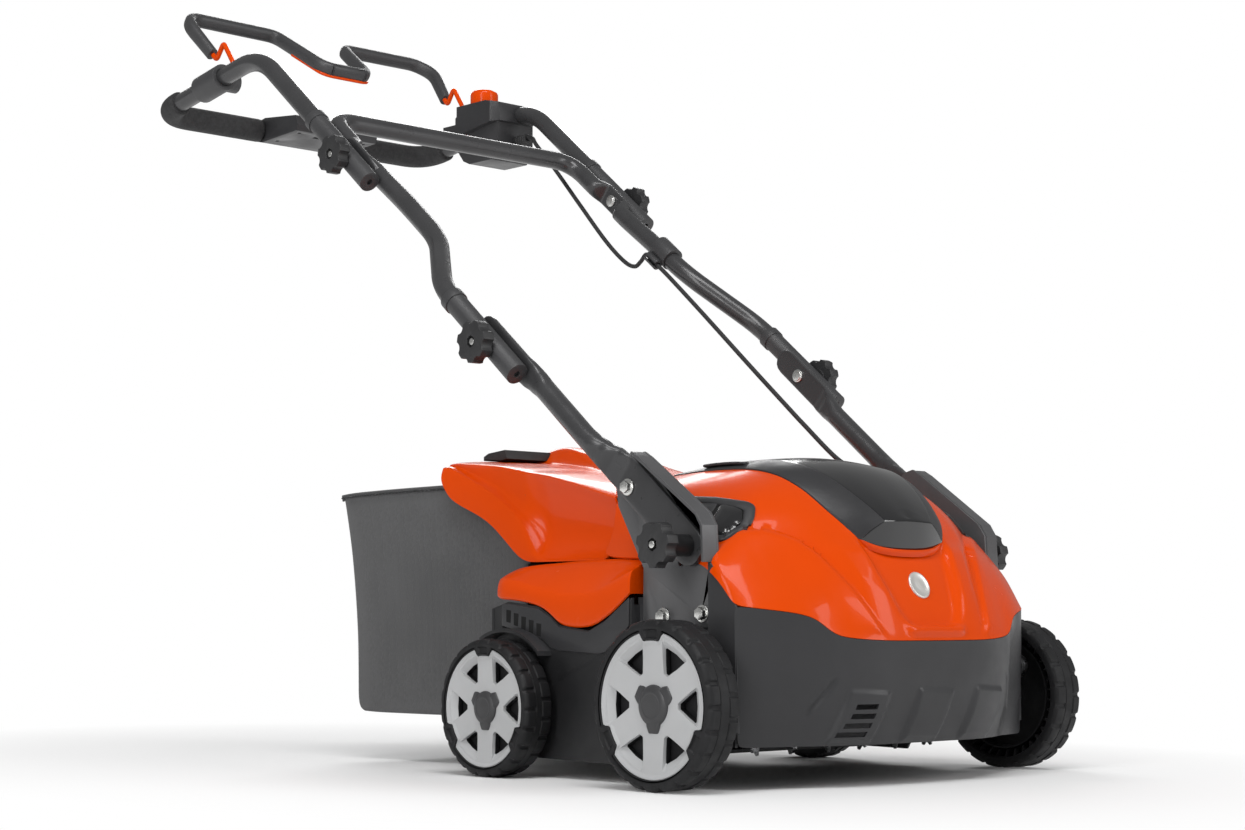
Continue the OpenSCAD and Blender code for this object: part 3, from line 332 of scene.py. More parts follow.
FINISH = {
    "orange_shell": ORANGE, "charcoal_shell": CHARCOAL, "black_plastic": BLACK, "strip_rubber": RUBBER,
    "knob_plastic": KNOB, "sleeve_plastic": SLEEVE, "tube_paint": PAINT, "bracket_paint": PLATE,
    "zinc_steel": ZINC, "axle_steel": STEEL, "blade_steel": BLADE, "pulley_metal": STEEL,
    "motor_metal": STEEL, "belt_rubber": RUBBER, "wheel_black": TREAD, "trim_grey": TRIM,
    "grip_foam": FOAM, "bail_plastic": SLEEVE, "cable_jacket": RUBBER, "bag_fabric": FABRIC,
}


# ---------- mesh helpers ----------

def freeze(obj):
    """Applies every modifier to the object's own mesh."""
    depsgraph = bpy.context.evaluated_depsgraph_get()
    mesh = bpy.data.meshes.new_from_object(obj.evaluated_get(depsgraph))
    obj.modifiers.clear()
    obj.data = mesh


@contextmanager
def edited(obj):
    """The object's mesh, opened for editing."""
    bm = bmesh.new()
    bm.from_mesh(obj.data)
    yield bm
    bm.to_mesh(obj.data)
    bm.free()


def smooth(obj, angle=32):
    obj.data.shade_smooth()
    obj.data.set_sharp_from_angle(angle=math.radians(angle))


def add(name, verts, faces):
    mesh = bpy.data.meshes.new(name)
    mesh.from_pydata([tuple(v) for v in verts], [], faces)
    obj = bpy.data.objects.new(name, mesh)
    scene.collection.objects.link(obj)
    with edited(obj) as bm:
        bmesh.ops.recalc_face_normals(bm, faces=bm.faces)
    return obj


def ring_faces(rings, n):
    """Faces between each ring of n points and the next."""
    return [(i * n + k, i * n + (k + 1) % n, (i + 1) * n + (k + 1) % n, (i + 1) * n + k)
            for i in range(rings - 1) for k in range(n)]


def loft(name, rings):
    """Closed piece through rings that have as many points each."""
    n = len(rings[0])
    verts = [point for ring in rings for point in ring]
    ends = [tuple(range(n)), tuple(range(len(verts) - n, len(verts)))]
    return add(name, verts, ring_faces(len(rings), n) + ends)


def turned(name, columns, closed=True):
    """Body of revolution from its profile at each turn."""
    turns, rows = len(columns), len(columns[0])
    faces = []
    for k in range(turns):
        n = (k + 1) % turns
        for i in range(rows if closed else rows - 1):
            j = (i + 1) % rows
            faces.append((k * rows + i, k * rows + j, n * rows + j, n * rows + i))
    return add(name, [point for column in columns for point in column], faces)


def on_left(side, node):
    """The CAD node that a pair of pieces stands for, named by the left one only."""
    return [node] if side > 0 else []


def give(obj, mat, body, slot, *stands_for):
    """Finish, body and record slot of a new piece, and the CAD nodes it stands for."""
    kept = [p.material_index for p in obj.data.polygons]
    obj.data.materials.clear()
    for one in mat if isinstance(mat, list) else [mat]:
        obj.data.materials.append(one)
    obj.data.polygons.foreach_set("material_index",
                                  [k if isinstance(mat, list) else 0 for k in kept])
    if body:
        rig.ride(obj, body)
    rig.slot(obj, slot)
    if stands_for:
        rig.replaces(obj, *stands_for)
    return obj


def modify(obj, kind, **settings):
    mod = obj.modifiers.new(kind.lower(), kind)
    for key, value in settings.items():
        setattr(mod, key, value)
    return mod


def bevelled(obj, width=0.6, segments=3, angle=28):
    modify(obj, "BEVEL", width=width * MM, segments=segments, limit_method="ANGLE",
           angle_limit=math.radians(angle), use_clamp_overlap=True, harden_normals=False)
    freeze(obj)
    smooth(obj, 40)
    return obj


def refined(node, width=0.6, mat=None):
    """Copy of a CAD node with its flat facets merged and its sharp edges rounded."""
    source = frame["nodes"][node]
    obj = bpy.data.objects.new(node + "_finished", source.data.copy())
    scene.collection.objects.link(obj)
    with edited(obj) as bm:
        bmesh.ops.remove_doubles(bm, verts=bm.verts, dist=2e-6)
        bmesh.ops.dissolve_limit(bm, angle_limit=math.radians(0.6), verts=bm.verts, edges=bm.edges)
    bevelled(obj, width)
    return give(obj, mat or FINISH[SLOT_OF[node]], BODY_OF[node], SLOT_OF[node], node)


def unit(v):
    return v.normalized()


def bend(before, corner, after, cut, steps):
    """Smooth bend that begins and ends the cut away from its corner."""
    a = corner + unit(before - corner) * cut
    c = corner + unit(after - corner) * cut
    return [(1 - t) ** 2 * a + 2 * t * (1 - t) * corner + t * t * c
            for t in (k / steps for k in range(steps + 1))]


def rounded(points, cut, steps=10):
    """Path whose inner corners are rounded, starting the bend cut mm before each corner."""
    out = [points[0]]
    for before, corner, after in zip(points, points[1:], points[2:]):
        out += bend(before, corner, after, cut * MM, steps)
    return out + [points[-1]]


def closed_loop(outline, cut):
    """Closed outline of (y, z) points with its corners rounded."""
    points = [Vector((y, z, 0)) for y, z in outline]
    out = []
    for before, corner, after in zip(points[-1:] + points, points, points[1:] + points[:1]):
        out += bend(before, corner, after, cut, 6)
    return out


def flip(points):
    return [Vector((-p.x, p.y, p.z)) for p in reversed(points)]


def spline(p0, p1, p2, p3, t):
    """Point of the Catmull-Rom curve between p1 and p2."""
    return 0.5 * (2 * p1 + (p2 - p0) * t + (2 * p0 - 5 * p1 + 4 * p2 - p3) * t * t
                  + (3 * p1 - p0 - 3 * p2 + p3) * t ** 3)


def curve_points(points, steps=8):
    """Smooth curve through the points."""
    ends = [2 * points[0] - points[1]] + list(points) + [2 * points[-1] - points[-2]]
    out = [spline(*four, k / steps) for four in zip(ends, ends[1:], ends[2:], ends[3:])
           for k in range(steps)]
    return out + [points[-1]]


def super_point(angle, power):
    c, s = math.cos(angle), math.sin(angle)
    return (math.copysign(abs(c) ** (2 / power), c), math.copysign(abs(s) ** (2 / power), s))


def sweep(name, path, sizes, up=ABOVE, sides=32):
    """Bar along a path. A size is (half-width, half-height, squareness) in mm, for all or each point."""
    last = len(path) - 1
    if isinstance(sizes, tuple):
        sizes = [sizes] * len(path)
    up = Vector(up)
    rings = []
    for i, (point, (a, b, power)) in enumerate(zip(path, sizes)):
        tangent = unit(path[min(i + 1, last)] - path[max(i - 1, 0)])
        high = unit(up - up.dot(tangent) * tangent)
        wide = high.cross(tangent)
        corners = [super_point(2 * math.pi * k / sides, power) for k in range(sides)]
        rings.append([point + wide * (x * a * MM) + high * (y * b * MM) for x, y in corners])
    return loft(name, rings)


def lathe(name, centre, profile, steps=96, axis=(1, 0, 0), closed=True):
    """Turned body: profile is (distance along the axis, radius) in mm from the centre."""
    axis = unit(Vector(axis))
    side = unit(axis.cross(Vector((0, 0, 1)) if abs(axis.z) < 0.9 else Vector((0, 1, 0))))
    other = axis.cross(side)
    columns = []
    for k in range(steps):
        a = 2 * math.pi * k / steps
        out = side * math.cos(a) + other * math.sin(a)
        columns.append([centre + axis * (d * MM) + out * (r * MM) for d, r in profile])
    obj = turned(name, columns, closed)
    if not closed:
        with edited(obj) as bm:
            bmesh.ops.remove_doubles(bm, verts=bm.verts, dist=1e-6)
            bmesh.ops.holes_fill(bm, edges=[e for e in bm.edges if e.is_boundary], sides=0)
            bmesh.ops.recalc_face_normals(bm, faces=bm.faces)
    return obj


def shell(name, rows, levels=3, creases=(), mirror=True, thickness=0.0, relief=None, paint=None):
    """Smooth moulded skin from rows of control points for its x >= 0 half.

    creases lists (row or None, column or None, sharpness): that whole row or column is an edge.
    relief(x, y, z) in mm, y from the axle, gives an offset along the normal in mm.
    paint(row, column) gives the finish of a face as a number."""
    cols = len(rows[0])
    cells = [(i, j) for i in range(len(rows) - 1) for j in range(cols - 1)]
    obj = add(name, [point for row in rows for point in row],
              [(i * cols + j, i * cols + j + 1, (i + 1) * cols + j + 1, (i + 1) * cols + j)
               for i, j in cells])
    if paint:
        for poly, cell in zip(obj.data.polygons, cells):
            poly.material_index = paint(*cell)
    with edited(obj) as bm:
        layer = bm.edges.layers.float.new("crease_edge")
        for row, col, sharp in creases:
            for edge in bm.edges:
                ij = [divmod(v.index, cols) for v in edge.verts]
                if row is not None and all(i == row for i, _ in ij):
                    edge[layer] = sharp
                if col is not None and all(j == col for _, j in ij):
                    edge[layer] = sharp
    if mirror:
        modify(obj, "MIRROR", use_clip=True, merge_threshold=1e-5)
    modify(obj, "SUBSURF", levels=levels, render_levels=levels)
    freeze(obj)
    outward(obj)
    if relief:
        verts = obj.data.vertices
        for v, normal in zip(verts, [v.normal.copy() for v in verts]):
            v.co += normal * (relief(v.co.x / MM, (v.co.y - AXLE_Y) / MM, v.co.z / MM) * MM)
    if thickness:
        modify(obj, "SOLIDIFY", thickness=thickness * MM, offset=-1)
        freeze(obj)
    smooth(obj, 38)
    return obj


def outward(obj):
    """Turns the skin's normals away from the middle of its box."""
    with edited(obj) as bm:
        bmesh.ops.recalc_face_normals(bm, faces=bm.faces)
        middle = sum((v.co for v in bm.verts), Vector()) / len(bm.verts)
        if sum((f.calc_center_median() - middle).dot(f.normal) * f.calc_area() for f in bm.faces) < 0:
            bmesh.ops.reverse_faces(bm, faces=bm.faces)


def step(edge, width, value):
    """0 below edge - width, 1 above edge + width, smooth between."""
    t = min(max((value - edge) / (2 * width) + 0.5, 0), 1)
    return t * t * (3 - 2 * t)


def joined(name, objs):
    """One object from several."""
    bpy.ops.object.select_all(action="DESELECT")
    for o in objs:
        o.select_set(True)
    bpy.context.view_layer.objects.active = objs[0]
    bpy.ops.object.join()
    objs[0].name = name
    return objs[0]


# ---------- deck shells ----------

LOUVRE = 5.5  # height of a louvre slot
PAD_LEAN = 0.28  # sideways lean of the skirt's pads and slots
# Joint between the hood and the dark skirt, as x, y, z of its left half
PART_LINE = [(0, -129.5, 157), (40, -129.5, 157), (85, -128, 157.3), (112, -123, 158.6), (136, -115.5, 160.6),
             (150, -111, 164.6), (159, -106.5, 172), (169, -101, 181), (185, -93, 186.2), (208, -81.5, 189.3),
             (232, -67, 192.3), (244, -54, 194.5)]
# Line where the fender meets the raised middle of the hood, as x, z
FENDER_LINE = [(70, 158), (84, 166), (93, 180), (99, 196), (108, 215), (119.5, 234), (132.5, 253.5), (148, 268),
               (168, 276.5), (183, 278.5), (200, 275.7), (224, 258), (245, 250)]
# Edges of the nose's sunken panel at one height: z, inner half-width, outer half-width
NOSE = [(160, 20, 50), (171, 22, 53), (176, 31, 56), (189, 42, 60), (204, 47, 64), (225, 53, 70),
        (246, 60, 74), (263, 66, 80)]


def along_table(table, value):
    """The columns of a table, read off at one value of its first column."""
    if value <= table[0][0]:
        return table[0][1:]
    for low, high in zip(table, table[1:]):
        if value <= high[0]:
            t = (value - low[0]) / (high[0] - low[0])
            return tuple(p + (q - p) * t for p, q in zip(low[1:], high[1:]))
    return table[-1][1:]


def hood_relief(x, y, z):
    """Height of the hood's creases above its plain form."""
    x = abs(x)
    line, = along_table(FENDER_LINE, x)
    steep = 0.53 + 0.42 * step(150, 30, x)
    below = (line - z) * steep
    ahead = step(10, 16, -y)
    fade = step(166, 8, z)
    out = 0.0
    if below > 0:
        out += 4.0 * step(2.5, 3, below) * math.exp(-(max(below - 5, 0) / 34) ** 2) * ahead * fade
    else:
        out -= 3.0 * math.exp(below / 14) * ahead * step(122, 18, x)
    inner, outer = along_table(NOSE, z)
    front = step(62, 16, -y) * (1 - step(262, 12, z)) * step(163, 4, z)
    if below < 0:
        out += 4.5 * min(max(-below / 26, 0), 1) * front * step(outer - 6, 5, x)
    out += 4.5 * (1 - step(outer - 6, 5, x)) * front
    wall = min(max((outer - x) / (outer - inner), 0), 1)
    out -= 9.0 * wall * wall * (3 - 2 * wall) * front * step(173, 3, z)
    return out


def hood():
    """Orange hood down to its joint with the skirt."""
    base = PART_LINE + [(243.6, -46, 203), (243.4, -20, 234), (221, 40, 246), (221, 110, 248), (209, 190, 250)]
    rows_mm = [
        [(0, -124, 176), (40, -124, 176), (84, -121, 177), (116, -114, 180), (156, -100, 192),
         (196, -79, 207), (229, -51, 218), (240, -33, 231), (238, -13, 251), (217, 40, 256),
         (217, 110, 258), (199, 190, 262)],
        [(0, -113, 205), (40, -112, 205), (80, -107, 207), (110, -99, 211), (149, -84, 222),
         (186, -62, 236), (214, -36, 246), (223, -18, 252), (222, 3, 263), (209, 45, 270),
         (205, 110, 274), (189, 190, 284)],
        [(0, -99, 236), (40, -98, 236), (76, -91, 240), (104, -80, 246), (139, -63, 257),
         (169, -41, 268), (191, -20, 276), (200, -4, 280), (203, 14, 284), (202, 50, 290),
         (199, 110, 296), (188, 190, 308)],
        [(0, -91, 249), (40, -90, 249), (74, -84, 256), (97, -71, 267), (120, -55, 285),
         (138, -33, 302), (150, -12, 313), (156, 6, 320), (160, 26, 325), (163, 58, 329),
         (172, 118, 329), (180, 190, 323)],
        [(0, -85, 257), (40, -84, 258), (70, -78, 266), (86, -66, 284), (95, -48, 301),
         (103, -26, 321), (108, -4, 334), (110, 14, 341), (111, 34, 346), (112, 60, 349),
         (112, 120, 350), (109, 190, 345)],
        [(0, -82, 252), (39, -81, 253), (67, -75, 262), (83, -63, 280), (92, -45, 297),
         (100, -24, 316), (104, -3, 328), (106, 14, 335), (107, 34, 340), (108, 60, 343),
         (108, 120, 344), (106, 190, 340)],
    ]
    spread = (0, 1, 2, 2.85, 3.45, 3.8, 4.0, 4.22, 4.6, 5.2, 5.9, 6.5, 7, 8, 9, 10, 11)
    rows = [[at(*p) for p in base]]
    for row in rows_mm:
        fine = curve_points([at(*p) for p in row], 20)
        rows.append([fine[round(20 * k)] for k in spread])
    obj = shell("hood_shell", rows, creases=[(6, None, 0.2), (5, None, 1.0), (0, None, 0.8)],
                thickness=2.6, relief=hood_relief)
    return give(obj, ORANGE, "deck", "orange_shell", "hood")


def skirt_relief(x, y, z):
    """Three raised pads along the foot of the skirt, and a groove at each side."""
    out = 0.0
    for middle, half in ((-108, 27), (-5, 29), (96, 30)):
        off = x - middle - PAD_LEAN * (z - 85)
        pad = (1 - step(half, 3.2, abs(off))) * (1 - step(103 - 0.06 * off, 3, z)) * step(50, 6, z)
        out += 4.2 * pad * (1 - 0.35 * step(90, 14, z))
    groove = abs(x) - (168 - 0.65 * (z - 83))
    out -= 2.4 * math.exp(-(groove / 3.4) ** 2) * step(80, 5, z) * (1 - step(116, 4, z))
    return out


def front_skirt():
    """Dark apron below the hood, with pads along its foot and four louvre slots on one side."""
    rows = []
    for t, pull in ((0, 0), (0.06, 0.5), (0.35, 1.5), (0.62, 6), (0.8, 12), (0.93, 18), (1, 20)):
        shrink = 1 - 0.016 * (pull / 20)
        rows.append([at(x * shrink, y + pull * min(1, (y + 55) / -40) * 1.05, z - 0.7 + (46.2 - z) * t)
                     for x, y, z in PART_LINE])
    obj = shell("front_skirt_shell", rows, creases=[(6, None, 1.0), (0, None, 0.8)], relief=skirt_relief,
                thickness=2.5, levels=4)
    slots = []
    for low, left, right in ((84, -123, -95), (74, -127, -97), (64, -133, -99.5), (54.5, -140, -103)):
        high = low + LOUVRE
        corners = ((left, low), (right, low), (right + PAD_LEAN * LOUVRE, high),
                   (left + PAD_LEAN * LOUVRE, high))
        slots.append(loft("slot", [[at(x, y, z) for x, z in corners] for y in (-150, -70)]))
    cut_away(obj, joined("louvre_cutter", slots))
    smooth(obj, 38)
    return give(obj, CHARCOAL, "deck", "charcoal_shell", "front_skirt")


def cut_away(obj, cutter):
    modify(obj, "BOOLEAN", operation="DIFFERENCE", object=cutter, solver="EXACT")
    freeze(obj)
    bpy.data.objects.remove(cutter)


# ---------- covers over the deck ----------

LID_EDGE = [(0, -85, 257), (40, -84, 258), (70, -78, 266), (86, -66, 284), (95, -48, 301),
            (103, -26, 321), (108, -4, 334), (110, 14, 341), (111, 34, 346), (112, 60, 349),
            (112, 120, 350), (109, 176, 346)]


def battery_lid():
    """Lid over the battery: a glossy middle with a sharp nose, and a satin band round it."""
    shoulder = [(0, -90, 289), (22, -90, 289), (40, -88, 288), (48, -77, 301), (58, -57, 319),
                (67, -33, 337), (74, -8, 350), (78, 14, 356), (80, 36, 360), (81, 60, 361.5),
                (81, 120, 360), (78, 176, 353)]
    spine = [(0, -88, 291), (0, -85, 295), (0, -77, 305), (0, -66, 316), (0, -50, 330), (0, -28, 346),
             (0, -6, 357), (0, 14, 362), (0, 36, 366), (0, 60, 367), (0, 120, 365), (0, 176, 357)]
    rows = [[(x * 0.985, y + 1.5, z - 6) for x, y, z in LID_EDGE],
            [(x, y - 1.2, z + 1.5) for x, y, z in LID_EDGE],
            [((a[0] * 0.55 + b[0] * 0.45) * 1.01, a[1] * 0.5 + b[1] * 0.5 - 1, a[2] * 0.45 + b[2] * 0.55 + 1)
             for a, b in zip(LID_EDGE, shoulder)],
            shoulder,
            [(b[0] * 0.5, (b[1] + s[1]) / 2 - 0.5, b[2] * 0.4 + s[2] * 0.6 + 0.6)
             for b, s in zip(shoulder, spine)],
            spine]
    obj = shell("battery_lid_cover", [[at(*p) for p in row] for row in rows],
                creases=[(1, None, 0.75), (3, None, 0.8), (3, 2, 0.6)], thickness=2.4,
                paint=lambda i, j: 0 if i < 3 and j >= 2 else 1)
    give(obj, [CHARCOAL, CHARCOAL_GLOSS], "battery_lid", "charcoal_shell", "battery_lid")
    for side, name in SIDES:
        hinge = lathe(f"lid_hinge_{name}", at(side * 50, 176, 346),
                      [(-10, 0), (-10, 3.8), (-9, 4.8), (9, 4.8), (10, 3.8), (10, 0)], 40, closed=False)
        smooth(hinge)
        give(hinge, CHARCOAL, "battery_lid", "charcoal_shell")
        line = [at(side * x, y, z) for x, y, z in
                ((100, 66, 356.2), (101, 84, 357.2), (101, 110, 357.2), (100, 130, 356.2))]
        rail = sweep(f"lid_rail_{name}", curve_points(line), (5.5, 2.0, 3.0), up=(0, 0, 1), sides=24)
        bevelled(rail, 0.5)
        give(rail, CHARCOAL, "battery_lid", "charcoal_shell")


def shoulder_covers():
    """Orange caps above the rear wheels: a broad slanting top and an upright outer band."""
    stations = [(108, 208, 232, 248), (120, 199, 228, 248.5), (134, 189, 222, 249), (151, 180, 216, 249),
                (166, 173, 211, 249), (182, 170.5, 209, 248.5), (200, 170.5, 208.5, 248), (216, 172, 208.5, 248),
                (228, 176, 209, 247.5), (240, 185, 211, 247), (256, 194, 214, 246), (280, 199, 218, 245),
                (306, 202, 223, 244), (326, 203, 226, 242), (336, 204, 226, 240), (340, 206, 225, 237)]
    last = len(stations)
    for side, name in SIDES:
        rows = []
        for k, (y, low, crease, top) in enumerate([stations[0]] + stations + [stations[-1]]):
            pull = 0 if y < 326 else (y - 326) * 0.35
            row = [(206, top - 3), (207, top), (216, top - 2.5), (228, (top - 2.5) * 0.45 + crease * 0.55 + 1),
                   (238.6 - pull, crease + 1.8), (241.4 - pull, crease - 3), (243 - pull, (crease + low) / 2),
                   (243 - pull, low + 1.5), (241.4 - pull, low)]
            if k in (0, last + 1):
                row = [(206 + (x - 206) * 0.1, z + (206 - z) * 0.1) for x, z in row]
            rows.append([at(side * x, y, z) for x, z in row])
        obj = shell(f"shoulder_cover_{name}", rows, mirror=False, thickness=-2.2 * side,
                    creases=[(None, 7, 0.9), (None, 4, 0.5), (1, None, 0.85), (last, None, 0.8)])
        give(obj, ORANGE, "deck", "orange_shell", *on_left(side, "shoulder_covers"))


def side_panels():
    """Dark panel below each shoulder, with the cooling slots above the rear wheel."""
    outline = [(109, 204), (151, 176), (176, 166), (226, 171), (240, 182), (262, 192), (316, 198), (326, 198),
               (326, 172), (262, 158), (252, 156), (240, 148), (228, 144), (160, 141), (148, 143), (109, 172)]
    for side, name in SIDES:
        panel = plate(f"side_panel_{name}", side * 240.5, side * 243.4, outline)
        bevelled(panel, 1.2)
        give(panel, CHARCOAL, "deck", "charcoal_shell")
        slots = []
        for k in range(5):
            y, z = 317 - 13.4 * k, 177 - 3.9 * k
            slots.append(plate("slot", side * 243.0, side * 243.6,
                               [(y, z), (y, z + 14), (y - 8.2, z + 13), (y - 7.2, z - 1.5)]))
        give(joined(f"side_slots_{name}", slots), SHADE, "deck", "charcoal_shell")


def laid_on(skin, name, rings, into):
    """Piece on the hood: rings of points cast onto its skin, each with its height above it in mm."""
    verts = []
    for starts, lift in rings:
        for start in starts:
            point, normal, _, _ = skin.ray_cast(start, into)
            verts.append(point + normal * (lift * MM))
    obj = add(name, verts, ring_faces(len(rings), len(rings[0][0])))
    outward(obj)
    smooth(obj, 50)
    return obj


def window_frames(skin):
    """Side windows: a dark frame and the panes behind it, which follow the hood's flank."""
    outline = closed_loop([(92, 316), (40, 313), (0, 307), (-10, 302), (-17, 289), (-19, 276), (-15, 266),
                           (-6, 262), (45, 259), (92, 258)], 5)
    outline_middle = sum(outline, Vector()) / len(outline)

    def inset_loop(inset):
        out = []
        for k, point in enumerate(outline):
            along = unit(outline[(k + 1) % len(outline)] - outline[k - 1])
            normal = Vector((-along.y, along.x, 0))
            if normal.dot(outline_middle - point) < 0:
                normal = -normal
            out.append(point + normal * inset)
        return out

    panes = (("back", [(90, 314), (40, 311), (0, 305), (-9, 300), (-15, 289), (-17, 276), (-13, 268),
                       (-6, 264), (45, 261), (90, 260)], SHADE, (0.2, 0.6, 0.8, 0.9, 0.9)),
             ("front", [(25, 305), (6, 301), (-3, 297), (-10, 286), (-11, 276), (-8, 270), (25, 267)],
              CHARCOAL_GLOSS, (0.6, 1.8, 2.6, 3.0, 3.2)),
             ("rear", [(86, 309), (30, 306), (30, 266.5), (86, 265)], CHARCOAL, (0.6, 1.8, 2.6, 3.0, 3.2)))
    for side, name in SIDES:
        def beside(loop):
            return [at(side * 330, p.x, p.y) for p in loop]

        into = Vector((-side, 0, 0))
        rings = [(beside(inset_loop(inset)), lift)
                 for inset, lift in ((0, -1.5), (0, 2.0), (1.2, 3.2), (6.0, 3.2), (7.2, 2.0), (7.4, 0.2))]
        give(laid_on(skin, f"window_frame_{name}", rings, into), CHARCOAL, "deck", "charcoal_shell",
             *on_left(side, "window_frames"))
        for tag, corners, mat, lifts in panes:
            ring = closed_loop(corners, 3)
            middle = sum(ring, Vector()) / len(ring)
            rings = [(beside([p.lerp(middle, share) for p in ring]), lift)
                     for share, lift in zip((0.0, 0.0, 0.07992, 0.4995, 0.999), lifts)]
            give(laid_on(skin, f"window_pane_{tag}_{name}", rings, into), mat, "deck", "charcoal_shell")


def badge(skin):
    """Plain round badge on the nose."""
    into = unit(Vector((0, 0.915, -0.40)))
    upward = into.cross(Vector((1, 0, 0)))
    centre = at(0, -108, 220) - into * (60 * MM)
    turns = [2 * math.pi * k / 64 for k in range(64)]
    rings = [([centre + Vector((r * MM * math.cos(a), 0, 0)) + upward * (r * MM * math.sin(a))
               for a in turns], lift)
             for r, lift in ((16.0, -1.0), (16.0, 0.8), (15.4, 1.6), (14.2, 1.9), (13.0, 1.3), (6.0, 1.5),
                             (0.01, 1.6))]
    give(laid_on(skin, "nose_badge", rings, into), BADGE, "deck", "trim_grey")


# ---------- flap and bag ----------

FLAP_ROWS = [  # y, bulge, top, side crease, arc crease, lower edge
    (192, 335, 330, 319, 250, 247), (214, 339, 334, 325, 250, 247), (235, 344, 339, 331, 250, 247),
    (262, 350, 345, 339, 250, 247), (290, 357, 351, 345, 250, 247), (308, 362, 355, 349, 252, 247),
    (318, 365, 356, 351, 263, 247), (330, 368, 358, 353, 280, 248), (345, 372, 360, 355, 297, 254),
    (360, 377, 364, 358, 308, 266), (376, 382, 366, 361, 318, 279), (396, 388, 369, 365, 331, 294),
    (418, 394, 372, 367, 341, 305), (440, 399, 374, 369, 350, 313), (466, 394, 376, 371, 361, 323),
    (478, 389, 377.5, 372, 366, 331), (487, 386, 378, 372, 368, 341), (493, 384, 377.5, 371, 367, 350),
]


def rear_flap():
    """Hinged cover over the bag's mouth, with a hump in the middle and hollow sides."""
    rows = []
    for y, bulge, top, crease, arc, low in FLAP_ROWS:
        deep = 1 - step(330, 14, y)
        rows.append([at(*p) for p in (
            (0, y, bulge + 1), (38, y, bulge + 0.5), (50, y, bulge - 1), (63, y, top + 3), (72, y, top + 1),
            (130, y, top), (178, y, top - (top - crease) * 0.55), (188, y, crease),
            (187.6 - 8 * deep, y, crease - (crease - arc) * 0.2),
            (187.4 - 13 * deep, y, crease - (crease - arc) * 0.6),
            (188.4 - 5 * deep, y, arc + (crease - arc) * 0.14 + 1),
            (198.5, y, arc), (201.8, y, arc - (arc - low) * 0.5), (202, y, low))])
    last = len(FLAP_ROWS) - 1
    obj = shell("rear_flap_cover", rows, thickness=2.6,
                creases=[(0, None, 0.9), (last, None, 0.9), (None, 7, 0.6), (None, 11, 0.85),
                         (None, 2, 0.3), (None, 4, 0.45)])
    give(obj, ORANGE, "rear_flap", "orange_shell", "rear_flap")
    for side, name in SIDES:
        knuckle = lathe(f"flap_knuckle_{name}", at(side * 135, 205, 330),
                        [(-15, 3.1), (-15, 5.4), (-14.4, 6), (14.4, 6), (15, 5.4), (15, 3.1)], 40)
        smooth(knuckle)
        give(knuckle, ORANGE, "rear_flap", "orange_shell")
    refined("flap_grip", 1.5)


BAG_REAR = [(673, 61.5), (683, 66), (688, 78), (689, 110), (691, 160), (697, 215), (705, 265), (713, 300),
            (720, 326), (724, 337)]
BAG_HALF = 181.5


